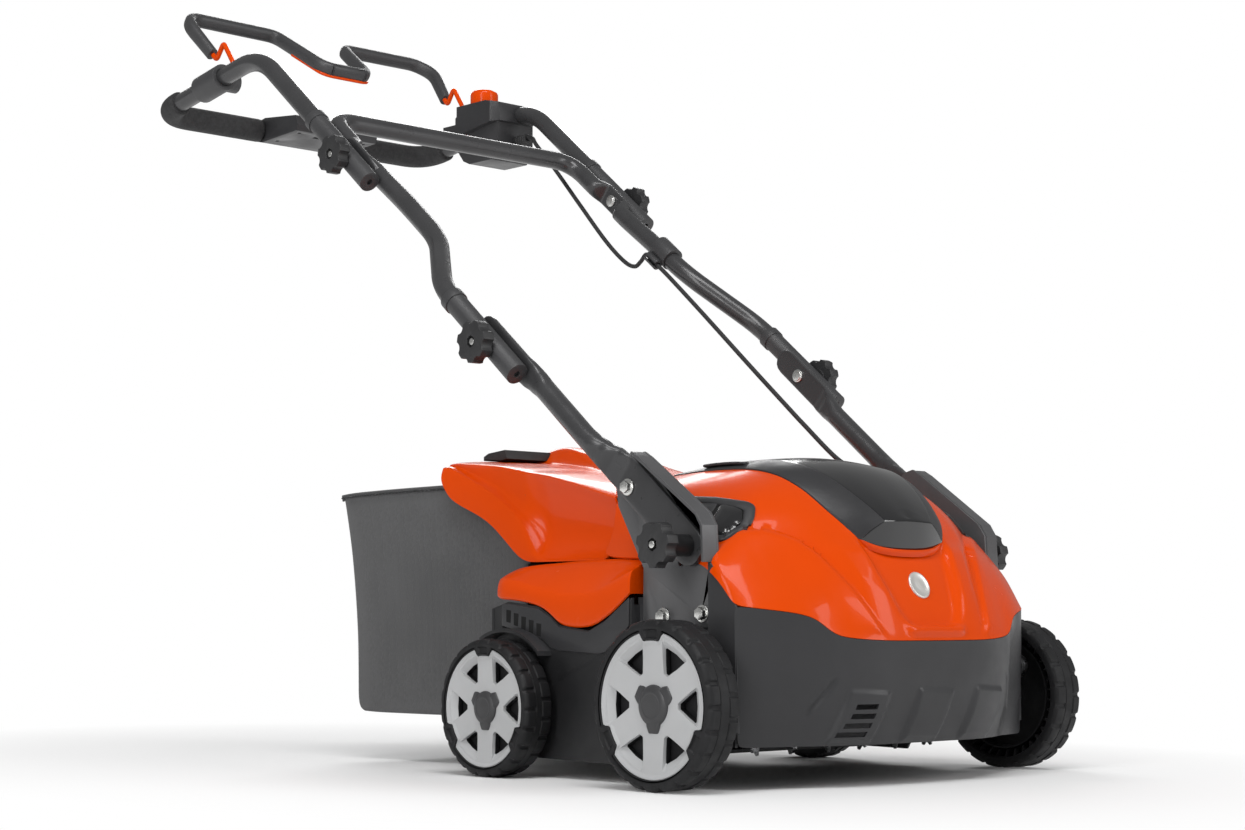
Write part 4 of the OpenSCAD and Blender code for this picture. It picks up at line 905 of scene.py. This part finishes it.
def collector_bag():
    """Fabric bag stretched over its frame; the rear edge is drawn in below the top seam."""
    bottom = [(347, 100), (366, 82), (392, 70), (430, 64), (500, 61), (580, 60.5), (640, 60.5), (673, 61.5)]
    top = [(347, 330), (362, 338), (380, 341.5), (440, 344), (493, 345), (600, 344.5), (690, 343),
           (724, 341)]
    front = [(347, 100), (347, 175), (347, 250), (347, 330)]
    bottom, top, front, rear = ([Vector(p) for p in edge] for edge in (bottom, top, front, BAG_REAR))

    def along_edge(points, t):
        s = t * (len(points) - 1)
        i = min(int(s), len(points) - 2)
        return spline(points[max(i - 1, 0)], points[i], points[i + 1], points[min(i + 2, len(points) - 1)],
                      s - i)

    def side_point(a, b):
        """Coons patch between the four edges of a side panel; a runs to the rear, b upwards."""
        behind = along_edge(rear, b)
        behind.y += 4 if b > 0.999 else 4 * b ** 6
        return ((1 - b) * along_edge(bottom, a) + b * along_edge(top, a) + (1 - a) * along_edge(front, b)
                + a * behind - (1 - a) * (1 - b) * bottom[0] - a * (1 - b) * bottom[-1]
                - (1 - a) * b * top[0] - a * b * top[-1])

    across, along, high = 36, 40, 30
    grid, verts, faces = {}, [], []

    def surface(u, a, b):
        """u across from -1 to 1, a to the rear, b upwards, on the bag's outside."""
        y, z = side_point(a, b)
        if abs(u) > 0.999:
            inner = min(a * 2.2, (1 - a) * 5, b * 5, (1 - b) * 5, 1)
            puff = 1 - (1 - max(inner, 0)) ** 2
            wave = noise.noise(Vector((a * 3.1 + u * 7, b * 2.7, 0.3)))
            return at(u * (BAG_HALF + 2.2 * puff + 0.9 * wave * puff), y, z)
        drop = (1 - u * u) ** 0.7
        wave = noise.noise(Vector((u * 2.3, a * 4.0, b * 4.0)))
        if b > 0.999:
            z -= (2.0 + 2.4 * wave) * drop * min(a * 4, 1) * min((1 - a) * 9, 1)
        if b < 0.001:
            z += (1.5 + 1.5 * wave) * drop
        if a > 0.999:
            y -= (3.0 + 2.0 * wave) * drop * min(b * 4, 1, (1 - b) * 6)
        return at(BAG_HALF * u, y, z)

    def corner(iu, ia, ib):
        key = (iu, ia, ib)
        if key not in grid:
            grid[key] = len(verts)
            verts.append(surface(2 * iu / across - 1, ia / along, ib / high))
        return grid[key]

    for point_of, n, m in ((lambda i, j: corner(0, i, j), along, high),
                           (lambda i, j: corner(across, i, j), along, high),
                           (lambda i, j: corner(i, j, high), across, along),
                           (lambda i, j: corner(i, j, 0), across, along),
                           (lambda i, j: corner(i, along, j), across, high)):
        faces += [(point_of(i, j), point_of(i + 1, j), point_of(i + 1, j + 1), point_of(i, j + 1))
                  for i in range(n) for j in range(m)]
    obj = add("collector_bag_fabric", verts, faces)
    outward(obj)
    modify(obj, "SUBSURF", levels=1, render_levels=1)
    freeze(obj)
    modify(obj, "SOLIDIFY", thickness=1.2 * MM, offset=-1)
    freeze(obj)
    smooth(obj, 60)
    give(obj, FABRIC, "collector_bag", "bag_fabric", "collector_bag")
    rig.sheet(obj, flat=(0.65, 1.0), held="stretched", rests_on=["bag_frame"], area=0.56,
             with_pieces=bag_trimmings(side_point))


def bag_trimmings(side_point):
    """Bound edge of the bag's sides, and the stitched seam below it."""
    pieces = []
    for side, name in SIDES:
        edge = [at(side * 182.3, *side_point(a / 40, 1.0)) for a in range(2, 41)]
        edge += [at(side * 182.3, *side_point(1.0, 1 - b / 60)) for b in range(1, 5)]
        piping = sweep(f"bag_piping_{name}", edge, (1.9, 1.9, 2.0), up=(1, 0, 0), sides=12)
        smooth(piping)
        give(piping, FABRIC, "collector_bag", "bag_fabric")
        seam = [at(side * 185.9, *side_point(a / 200, 1 - 0.036 + 0.012 * (1 - a / 200))) for a in range(6, 199)]
        line = sweep(f"bag_seam_{name}", seam, (0.9, 0.9, 2.0), up=(1, 0, 0), sides=8)
        smooth(line)
        give(line, RUBBER, "collector_bag", "bag_fabric")
        raised = [point + Vector((side, 0, 0)) * 0.9 * MM for point in seam]
        stitches = [sweep(f"stitch_{name}_{k}", raised[k:k + 2], (0.55, 0.55, 2.0), up=(1, 0, 0), sides=6)
                    for k in range(0, len(seam) - 2, 2)]
        run = joined(f"bag_stitches_{name}", stitches)
        give(run, KNOB, "collector_bag", "bag_fabric")
        pieces += [piping, line, run]
    return pieces


# ---------- wheels ----------

TREAD_DEPTH = 2.2
WINDOW_DEPTH = 9.4


def tab_share(angle, half, soft):
    """1 on the middle of one of the wheel's three tabs, 0 beyond their half-width in degrees."""
    a = math.degrees(angle - math.pi / 2) % 120
    return 1 - step(half, soft, min(a, 120 - a))


def on_its_side(obj, side):
    """Mirrors a wheel piece, built at positive x, to its own side."""
    obj.data.transform(Matrix.Diagonal((side, 1, 1, 1)))
    if side < 0:
        obj.data.flip_normals()


def tyre(where, place, centre, r, w, out_x):
    """Wheel body with its tread lugs, open on the inner side, with ribs there."""
    lugs, per = 22, 14
    columns = []
    for k in range(lugs * per):
        angle = 2 * math.pi * k / (lugs * per)
        u_out = (k / per) % 1 - 0.5
        u_in = (k / per + 0.5) % 1 - 0.5
        crown = 1.1 * (2 * abs(u_out)) ** 3
        rim = (0.862 - 0.105 * tab_share(angle, 11.5, 2.0)) * r
        hole = 0.6 + 2.2 * tab_share(angle, 7.2, 0.9)
        out_r = r - TREAD_DEPTH * step(0.40, 0.05, abs(u_out)) - crown * 0.6
        in_r = r - TREAD_DEPTH * step(0.40, 0.05, abs(u_in)) - 0.6
        columns.append([place(d, radius, angle) for d, radius in (
            (15, 0.868 * r), (2.0, rim), (0.9, rim + 0.9), (0.6, rim + 1.8), (hole, rim + 3.0),
            (hole, 0.872 * r), (0.6, 0.888 * r), (0.3, 0.91 * r), (0.6, r - 4.6 - crown), (2.0, out_r - 2.2),
            (4.2, out_r - 0.4), (6, out_r), (14.5, out_r), (15.6, r - 2.0), (16.6, r - 0.9),
            (w - 17.6, r - 0.9), (w - 16.6, r - 2.0), (w - 15.5, in_r), (w - 5, in_r), (w - 2.6, in_r - 1.0),
            (w - 0.6, r - 4.6), (w - 0.3, r - 8), (w - 0.9, r - 12.5), (w - 3, r - 13.6), (20, 0.845 * r),
            (20, 0.70 * r), (20, 0.21 * r), (17.5, 0.20 * r), (17.2, 0.5 * r), (17, 0.855 * r),
            (15.5, 0.866 * r))])
    parts = [turned(f"{where}_tyre", columns)]
    for k in range(36):
        a = math.radians(10 * k + 5)
        parts.append(loft("rib", [[place(d, radius, a + t / radius * 0.9) for d, radius, t in ring]
                                  for ring in (
            ((19.5, 0.85 * r, -1), (19.5, 0.85 * r, 1), (w - 4, 0.85 * r, 1), (w - 4, 0.85 * r, -1)),
            ((19.5, 0.72 * r, -1), (19.5, 0.72 * r, 1), (w - 9, 0.76 * r, 1), (w - 9, 0.76 * r, -1)))]))
    for profile in ([(-(w - 8), 0.735 * r), (-(w - 8), 0.715 * r), (-19.5, 0.70 * r), (-19.5, 0.73 * r)],
                    [(-(w - 3), 6.2), (-(w - 3), 0.17 * r), (-19.5, 0.19 * r), (-19.5, 6.2)]):
        parts.append(lathe("inner_ring", centre + Vector((out_x * MM, 0, 0)), profile, 96))
    return joined(f"{where}_tyre", parts)


def trim_disc(where, place, r, out_x):
    """Light dished disc, less six tapered windows with dark bottoms."""
    columns = []
    for k in range(240):
        angle = math.pi * k / 120
        edge = 0.858 * r - 0.104 * r * tab_share(angle, 11.5, 2.0)
        columns.append([place(d, share * edge + fixed * r, angle) for d, share, fixed in (
            (15.3, 1.0, 0), (2.6, 1.0, 0), (2.0, 0.988, 0), (2.2, 0.975, 0), (4.0, 0.93, 0),
            (5.0, 0, 0.55), (5.6, 0, 0.36), (6.0, 0, 0.205), (15.3, 0, 0.205))])
    disc = turned(f"{where}_disc", columns)
    front = [(0.40, -0.035), (0.40, 0.035), (0.60, 0.158), (0.775, 0.25), (0.80, 0.23), (0.825, 0.0),
             (0.80, -0.23), (0.775, -0.25), (0.60, -0.158)]
    back = [(0.41, -0.030), (0.41, 0.030), (0.53, 0.110), (0.65, 0.182), (0.67, 0.17),
            (0.685, 0.0), (0.67, -0.17), (0.65, -0.182), (0.53, -0.110)]
    cutters = []
    for k in range(6):
        middle = math.radians(60 * k)
        cutters.append(loft("window", [[spoke_point(place, d, a * r, b * r * widen, middle) for a, b in outline]
                                       for d, outline, widen in ((1.0, front, 1.03), (WINDOW_DEPTH, back, 1),
                                                                 (17.0, back, 1))]))
    cut_away(disc, joined("window_cutter", cutters))
    for poly in disc.data.polygons:
        poly.material_index = int(poly.center.x / MM < out_x - WINDOW_DEPTH - 0.2)
    return disc


def spoke_point(place, d, radius, offset, middle):
    """Point of a wheel at a radius along a spoke's middle line, and offset to one side of it."""
    return place(d, math.hypot(radius, offset), middle + math.atan2(offset, radius))


def boss(where, place, centre, r, out_x):
    """Domed boss in the middle, with three lobes."""
    pieces = [lathe("dome", centre + Vector((out_x * MM, 0, 0)),
                    [(-18, 0), (-18, 0.245 * r), (-6.2, 0.245 * r), (-4.4, 0.238 * r), (-2.8, 0.218 * r),
                     (-1.4, 0.180 * r), (-0.9, 0.150 * r), (-1.3, 0.140 * r), (-0.9, 0.08 * r), (-0.8, 0)],
                    72, closed=False)]
    for k in range(3):
        rings = []
        for radius, half, d, top in ((0.08, 0.125, 2.6, 0.095), (0.24, 0.115, 3.0, 0.085),
                                     (0.315, 0.095, 4.4, 0.068), (0.350, 0.080, 9.5, 0.060)):
            rings.append([spoke_point(place, depth, radius * r, offset * r, math.radians(30 + 120 * k))
                          for depth, offset in ((16, -half), (d + 2.2, -half), (d, -top), (d, top),
                                                (d + 2.2, half), (16, half))])
        pieces.append(loft("lobe", rings))
    return joined(f"{where}_boss", pieces)


def wheel(where, r, w, out_x, y, side):
    """Wheel on the floor: radius r, width w, its outer face at out_x, its axle y behind the front one."""
    centre = at(0, y, r)

    def place(d, radius, angle):
        """Point d mm in from the outer face, with the angle counted up from the front."""
        return centre + Vector(((out_x - d) * MM, -math.cos(angle) * radius * MM,
                                math.sin(angle) * radius * MM))

    body = tyre(where, place, centre, r, w, out_x)
    on_its_side(body, side)
    smooth(body, 30)
    give(body, TREAD, where, "wheel_black", where)
    disc = trim_disc(where, place, r, out_x)
    on_its_side(disc, side)
    bevelled(disc, 0.9, 3, 24)
    give(disc, [TRIM, BLACK], where, "trim_grey", where.replace("wheel", "trim"))
    dome = boss(where, place, centre, r, out_x)
    on_its_side(dome, side)
    bevelled(dome, 0.6, 3, 24)
    give(dome, SLEEVE, where, "wheel_black")


# ---------- handle ----------

LOWER = Vector(JOINTS["lower_fold"]["pos_m"])
UPPER = Vector(JOINTS["upper_fold"]["pos_m"])
LOWER.x = UPPER.x = 0
BRACKET_KNOB = at(0, 22, 259)


def on_slope(joint, s, x, up=0.0):
    """Point s mm up the handle's slope from a joint, x to the side and up off the slope."""
    return joint + ALONG * (s * MM) + ABOVE * (up * MM) + Vector((x * MM, 0, 0))


def ease(a, b, t):
    t = min(max(t, 0), 1)
    return a + (b - a) * t * t * (3 - 2 * t)


def lower_tubes():
    """Tubes flattened at the bracket and at the fold; rows of s, x, half-width, half-height in mm."""
    line = unit(LOWER - BRACKET_KNOB)
    length = (LOWER - BRACKET_KNOB).length / MM
    mid = 235.7
    rows = [(-22, mid, 3.4, 6), (-20, mid, 3.4, 11.5), (-16, mid, 3.4, 16), (-10, mid, 3.4, 20),
            (-3, mid, 3.4, 21.8), (8, mid, 3.4, 22), (108, mid, 3.4, 22), (128, mid, 3.6, 21.5),
            (146, mid + 3, 6, 19), (164, mid + 9, 10, 15.5), (182, mid + 13, 12, 13.2),
            (198, 250, 12.5, 12.5), (length - 92, 250, 12.5, 12.5), (length - 74, 251, 9.5, 14),
            (length - 60, 254, 6, 15.5), (length - 46, 257, 3.6, 16), (length + 30, 257.6, 3.3, 16),
            (length + 38, 257.6, 3.3, 14.6), (length + 43, 257.6, 3.2, 11.5), (length + 46, 257.6, 3, 7)]
    for side, name in SIDES:
        path, sizes = [], []
        for (s0, x0, a0, b0), (s1, x1, a1, b1) in zip(rows, rows[1:]):
            parts = max(int((s1 - s0) / 3), 1)
            for k in range(parts):
                t = k / parts
                a, b = ease(a0, a1, t), ease(b0, b1, t)
                path.append(BRACKET_KNOB + line * ((s0 + (s1 - s0) * t) * MM)
                            + Vector((side * ease(x0, x1, t) * MM, 0, 0)))
                sizes.append((a, b, 2 + 4.5 * min(max((b / a - 1) / 3, 0), 1)))
        path.append(BRACKET_KNOB + line * (rows[-1][0] * MM) + Vector((side * rows[-1][1] * MM, 0, 0)))
        sizes.append((3, 7, 4))
        obj = sweep(f"lower_tube_skin_{name}", path, sizes, sides=48)
        bevelled(obj, 0.5, 2, 50)
        give(obj, PAINT, "handle_lower", "tube_paint", f"lower_tube_{name}")


def middle_frame():
    """Middle tube: one piece over both sides, flattened where the upper handle folds."""
    corners = [on_slope(LOWER, -58, 275), on_slope(LOWER, 118, 275), on_slope(LOWER, 228, 217, 5),
               on_slope(LOWER, 316, 214, 3), on_slope(LOWER, 376, 214)]
    leg = rounded(corners, 28)

    def fine(a, b, parts):
        return [a.lerp(b, k / parts) for k in range(1, parts)]

    dense = [leg[0]] + fine(leg[0], leg[1], 8) + leg[1:]
    for s in range(-48, 51, 2):
        w = 1 - step(28, 11, abs(s))
        dense.append(on_slope(UPPER, s, 214 + 10.6 * w))
    top = rounded([on_slope(UPPER, 50, 214), on_slope(UPPER, 102, 214), on_slope(UPPER, 102, 0)], 38, 16)
    half = dense + top[1:-1]
    path = half + flip(half)
    sizes = []
    for p in path:
        s = abs((p - UPPER).dot(ALONG)) / MM
        w = (1 - step(28, 11, s)) if abs((p - UPPER).dot(ABOVE)) < 0.03 else 0
        sizes.append((12.5 - 9.2 * w, 12.5 + 2.5 * w, 2 + 4 * w))
    obj = sweep("middle_frame_skin", path, sizes, sides=48)
    smooth(obj, 45)
    give(obj, PAINT, "handle_middle", "tube_paint", "middle_frame")


FLAT_UP = Vector((0, 0.35, 0.94))  # across the plane of the grip bar


def upper_handle():
    """Upper tube, and the foam grips round its rear corners."""
    leg = rounded([on_slope(UPPER, -58, 243), at(243, 842, 944), at(241, 1092, 904), at(0, 1092, 904)], 45, 20)
    half = leg[:-1]
    obj = sweep("upper_handle_skin", half + flip(half), (12.5, 12.5, 2.0), up=FLAT_UP, sides=48)
    smooth(obj, 45)
    give(obj, PAINT, "handle_upper", "tube_paint", "upper_handle")
    for side, name in SIDES:
        corner = rounded([at(side * 241, 1042, 912), at(side * 241, 1092, 904), at(side * 74, 1092, 904)],
                         45, 20)
        path = [corner[0]] + [corner[0].lerp(corner[1], t) for t in (0.04, 0.12, 0.3, 0.6)] + corner[1:-1]
        path += [corner[-2].lerp(corner[-1], t) for t in (0.2, 0.4, 0.6, 0.8, 0.96, 0.99, 1.0)]
        sizes = []
        for point in path:
            from_end = min((point - path[0]).length, (point - path[-1]).length) / MM
            r = 17 - 1.8 * (1 - min(from_end / 2.2, 1)) ** 2
            sizes.append((r, r, 2.0))
        grip = sweep(f"foam_grip_{name}", path, sizes, up=FLAT_UP, sides=56)
        smooth(grip, 50)
        give(grip, FOAM, "handle_upper", "grip_foam", *on_left(side, "foam_grips"))
        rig.padded(grip, fill=1.0)


def bail():
    """Bail: a wire arm at each side, the moulded grip and the orange strip under its dip."""
    wire = rounded([at(208, 960, 932), at(208, 961, 962), at(209, 984, 994), at(210, 1000, 972),
                    at(212, 1022, 996)], 6, 8)
    for side, name in SIDES:
        path = [Vector((side * p.x, p.y, p.z)) for p in wire]
        arm = sweep(f"bail_wire_{name}", path, (3.5, 3.5, 2.0), up=(1, 0, 0), sides=24)
        end = lathe("bail_end", at(side * 209.5, 960, 932), [(-3.9, 0), (-3.9, 4.8), (-3.3, 5.3), (3.3, 5.3),
                                                             (3.9, 4.8), (3.9, 0)], 40, closed=False)
        arm = joined(f"bail_wire_{name}", [arm, end])
        smooth(arm, 40)
        give(arm, ORANGE, "bail", "bail_plastic", *on_left(side, "bail_lever"))
    half = rounded([at(212, 1008, 981), at(224, 1052, 1030), at(205, 1076, 1047), at(62, 1072, 1045),
                    at(40, 980, 986), at(30, 976, 984)], 16, 14)
    path = half + flip(half)
    sizes = []
    for point in path:
        y = (point.y - AXLE_Y) / MM
        taper = 0.9 + 0.1 * min(max((y - 1008) / 20, 0), 1) if abs(point.x) / MM > 190 else 1.0
        sizes.append((8 * taper, 10 * taper, 2.5))
    grip = sweep("bail_grip", path, sizes, up=(0, -0.5, 0.8), sides=40)
    bevelled(grip, 1.2, 3, 50)
    give(grip, SLEEVE, "bail", "bail_plastic")
    low = rounded([at(-54, 1035, 1012), at(-40, 983, 978), at(-30, 978, 975), at(30, 978, 975),
                   at(40, 983, 978), at(54, 1035, 1012)], 7, 8)
    strip = sweep("bail_strip", low, (5.5, 2.4, 3.0), up=(0, -0.5, 0.8), sides=20)
    bevelled(strip, 0.6, 2, 50)
    give(strip, ORANGE, "bail", "bail_plastic")


def start_button():
    """Round button with a facet cut off its top on the outer side."""
    x, y = 214, 916
    profile = [(0, 0), (0, 21), (22, 21), (25, 20.4), (26.8, 19), (27.7, 17), (28, 14), (28, 0)]
    obj = lathe("start_button_cap", at(x, y, 951), profile, 96, axis=(0, 0, 1), closed=False)
    with edited(obj) as bm:
        cut = bmesh.ops.bisect_plane(bm, geom=bm.verts[:] + bm.edges[:] + bm.faces[:], dist=1e-6,
                                     plane_co=at(x + 8, y - 10, 979), plane_no=(0.2, -0.35, 0.91),
                                     clear_outer=True)
        rim = [e for e in cut["geom_cut"] if isinstance(e, bmesh.types.BMEdge)]
        bmesh.ops.contextual_create(bm, geom=rim)
    outward(obj)
    bevelled(obj, 0.5, 2, 40)
    give(obj, ORANGE, "start_button", "orange_shell", "start_button")


def cable_run(name, route, *stands_for):
    """Cable of 6 mm along a smooth line through its route, and that line."""
    line = curve_points(route, 12)
    cable = sweep(name, line, (3, 3, 2), up=(1, 0, 0), sides=20)
    smooth(cable)
    give(cable, RUBBER, None, "cable_jacket", *stands_for)
    return cable, line


CLIP = at(200, 531, 674.2)
CABLE_SPLIT = at(184, 330, 509)


def cables():
    """Switch cable: from the deck to the clip in two pieces, and from the clip to the switch box."""
    lower = [CLIP, at(200, 522, 666.5), at(198, 490, 641), at(193, 420, 583), CABLE_SPLIT, at(173, 235, 433),
             at(162, 160, 378), at(153, 109, 357), at(150, 100, 352), at(150, 100, 322)]
    upper = [at(236, 864, 898), at(236, 832, 898), at(228, 810, 882), at(222, 760, 836), at(216, 700, 776),
             at(211, 640, 716), at(207, 598, 682), at(204, 573, 671), at(202, 558, 676),
             at(200, 546, 684), at(200, 538.7, 680.6), CLIP]
    low_a, _ = cable_run("cable_low_upper_run", lower[:6], "cable_lower")
    low_b, _ = cable_run("cable_low_lower_run", lower[5:])
    high, line = cable_run("cable_high_run", upper, "cable_upper")
    length = sum((b - a).length for a, b in zip(line, line[1:]))
    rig.cord(high, exit=line[0], length=length, diameter=0.006, far_end="object", stiffness="medium",
            lay="hanging", path=line)
    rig.blend(low_a, "handle_lower", "handle_middle", start=CABLE_SPLIT, end=at(198, 500, 650))
    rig.blend(low_b, "deck", "handle_lower", start=at(152, 106, 349), end=at(168, 200, 408))
    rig.blend(high, "handle_middle", "handle_upper", start=at(204, 573, 671), end=at(220, 740, 818))


def plate(name, x0, x1, outline):
    """Flat piece between two planes of constant x, from its outline in (y, z)."""
    n = len(outline)
    verts = [at(x, y, z) for x in (x0, x1) for y, z in outline]
    faces = [(k, (k + 1) % n, n + (k + 1) % n, n + k) for k in range(n)]
    return add(name, verts, faces + [tuple(range(n)), tuple(range(n, 2 * n))])


def side_cheeks():
    """Dark sides of the housing that rise to the hood's edge in front of the brackets."""
    for side, name in SIDES:
        cheek = plate(f"side_cheek_{name}", side * 236.5, side * 242.6,
                      [(-56, 60), (-56, 192), (-50, 203), (-22, 236), (-13, 243), (-13, 150), (-20, 60)])
        bevelled(cheek, 1.2)
        give(cheek, CHARCOAL, "deck", "charcoal_shell")


# ---------- stage ----------

BACKGROUND = 1.0  # brightness of the plain backdrop
WHITE = (1, 1, 1, 1)


def stage():
    """White floor that fades into a white backdrop away from the machine, and four soft boxes."""
    bpy.ops.mesh.primitive_plane_add(size=60, location=(0, 0, 0))
    floor = bpy.context.object
    floor.name = "studio_floor"
    mat, tree, shader = new_material("floor_pale")
    fill(tree, shader, {"Base Color": (0.9, 0.9, 0.9, 1), "Roughness": 0.7})
    glow = put_node(tree, "Emission", {"Color": WHITE, "Strength": BACKGROUND}, "Emission")
    place = put_node(tree, "TexCoord", output="Object")
    round_it = put_node(tree, "Mapping", {"Scale": (1.5, 1.0, 1.0), "Vector": place}, "Vector")
    far = put_node(tree, "VectorMath", operation="LENGTH", output="Value")
    fill(tree, far.node, {0: round_it})
    fade = put_node(tree, "MapRange", {"From Min": 0.6, "From Max": 1.25, "Value": far}, "Result")
    mix = put_node(tree, "MixShader", {"Fac": fade, 1: shader.outputs["BSDF"], 2: glow}, "Shader")
    fill(tree, tree.nodes["Material Output"], {"Surface": mix})
    floor.data.materials.append(mat)
    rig.stage(floor)
    scene.view_settings.view_transform = "Standard"

    world = bpy.data.worlds.new("studio")
    scene.world = world
    world.use_nodes = True
    tree = world.node_tree
    soft = tree.nodes["Background"]
    fill(tree, soft, {"Color": WHITE, "Strength": 0.27})
    plain = put_node(tree, "Background", {"Color": WHITE, "Strength": BACKGROUND}, "Background")
    rays = put_node(tree, "LightPath", output="Is Camera Ray")
    mix = put_node(tree, "MixShader", {"Fac": rays, 1: soft.outputs["Background"], 2: plain}, "Shader")
    fill(tree, tree.nodes["World Output"], {"Surface": mix})

    for name, spot, target, size, power in (
            ("key_top", (-1.2, -1.6, 3.2), (0, -0.2, 0.3), (2.2, 1.2), 64),
            ("front_left", (-3.2, -1.2, 1.6), (0, 0, 0.4), (0.9, 2.4), 44),
            ("front_right", (1.6, -3.0, 1.5), (0, -0.3, 0.3), (0.9, 2.0), 27),
            ("rim", (1.8, 2.4, 2.2), (0, 0.2, 0.6), (2.0, 1.0), 42)):
        light = bpy.data.lights.new(name, "AREA")
        light.shape = "RECTANGLE"
        light.size, light.size_y = size
        light.energy = power
        obj = bpy.data.objects.new(name, light)
        scene.collection.objects.link(obj)
        obj.location = spot
        obj.rotation_euler = (Vector(target) - Vector(spot)).to_track_quat("-Z", "Y").to_euler()


def camera():
    """Photograph's place and lens, as solved from the wheels and bolts."""
    cam = bpy.data.cameras.new("photo_view")
    cam.sensor_width = 36
    cam.lens = 66.65
    obj = bpy.data.objects.new("photo_view", cam)
    scene.collection.objects.link(obj)
    obj.location = at(-1988.2, -1748.5, 180.9)
    obj.rotation_euler = (math.radians(95.04), 0, math.radians(-43.06))
    scene.camera = obj


stage()
camera()
hood_piece = hood()
front_skirt()
battery_lid()
shoulder_covers()
side_panels()
hood_skin = BVHTree.FromObject(hood_piece, bpy.context.evaluated_depsgraph_get())
window_frames(hood_skin)
badge(hood_skin)
side_cheeks()
rear_flap()
collector_bag()
for axle, size in (("front", (90, 46, 315.8, 0)), ("rear", (78.8, 41, 292.7, 302))):
    for side, name in SIDES:
        wheel(f"{axle}_{name}_wheel", *size, side)
lower_tubes()
middle_frame()
upper_handle()
bail()
start_button()
cables()
BEVELS = {  # mm: the CAD nodes that keep their own shape
    0.15: ["scarifier_blades"],
    0.5: ["deck_bolts", "strain_relief"],
    0.6: ["lower_bolts", "upper_bolts"],
    0.8: ["cable_gland", "depth_axle"],
    1.0: ["bracket_right", "bracket_left", "middle_sleeves", "upper_sleeves", "bag_frame"],
    1.2: ["cable_clip", "depth_lever"],
    1.5: ["bail_collar"],
    1.6: [f"knob_{place}_{name}" for place in ("bracket", "lower", "upper") for _, name in SIDES],
    3.5: ["console"],
    4.5: ["switch_box"],
}
for width, kept_nodes in BEVELS.items():
    for node in kept_nodes:
        refined(node, width)
PAINTED_SHADE_X = 0.238  # the housing's upright side faces outside this x are painted black, as painted shade beneath the shoulders
housing = refined("lower_housing", 1.2, [CHARCOAL, BLACK])
# Painted shade: the charcoal housing's outer upright faces take the black finish, standing in for the deep shadow
# under the shoulders.
for poly in housing.data.polygons:
    if abs(poly.normal.x) > 0.9 and abs(poly.center.x) > PAINTED_SHADE_X:
        poly.material_index = 1
for node, obj in frame["nodes"].items():
    obj.data.materials.clear()
    obj.data.materials.append(FINISH[SLOT_OF[node]])

with open("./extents.json", "w") as size_file:
    json.dump({"cad": cad_box, "visual": [list(corner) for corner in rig.bounds()]}, size_file)
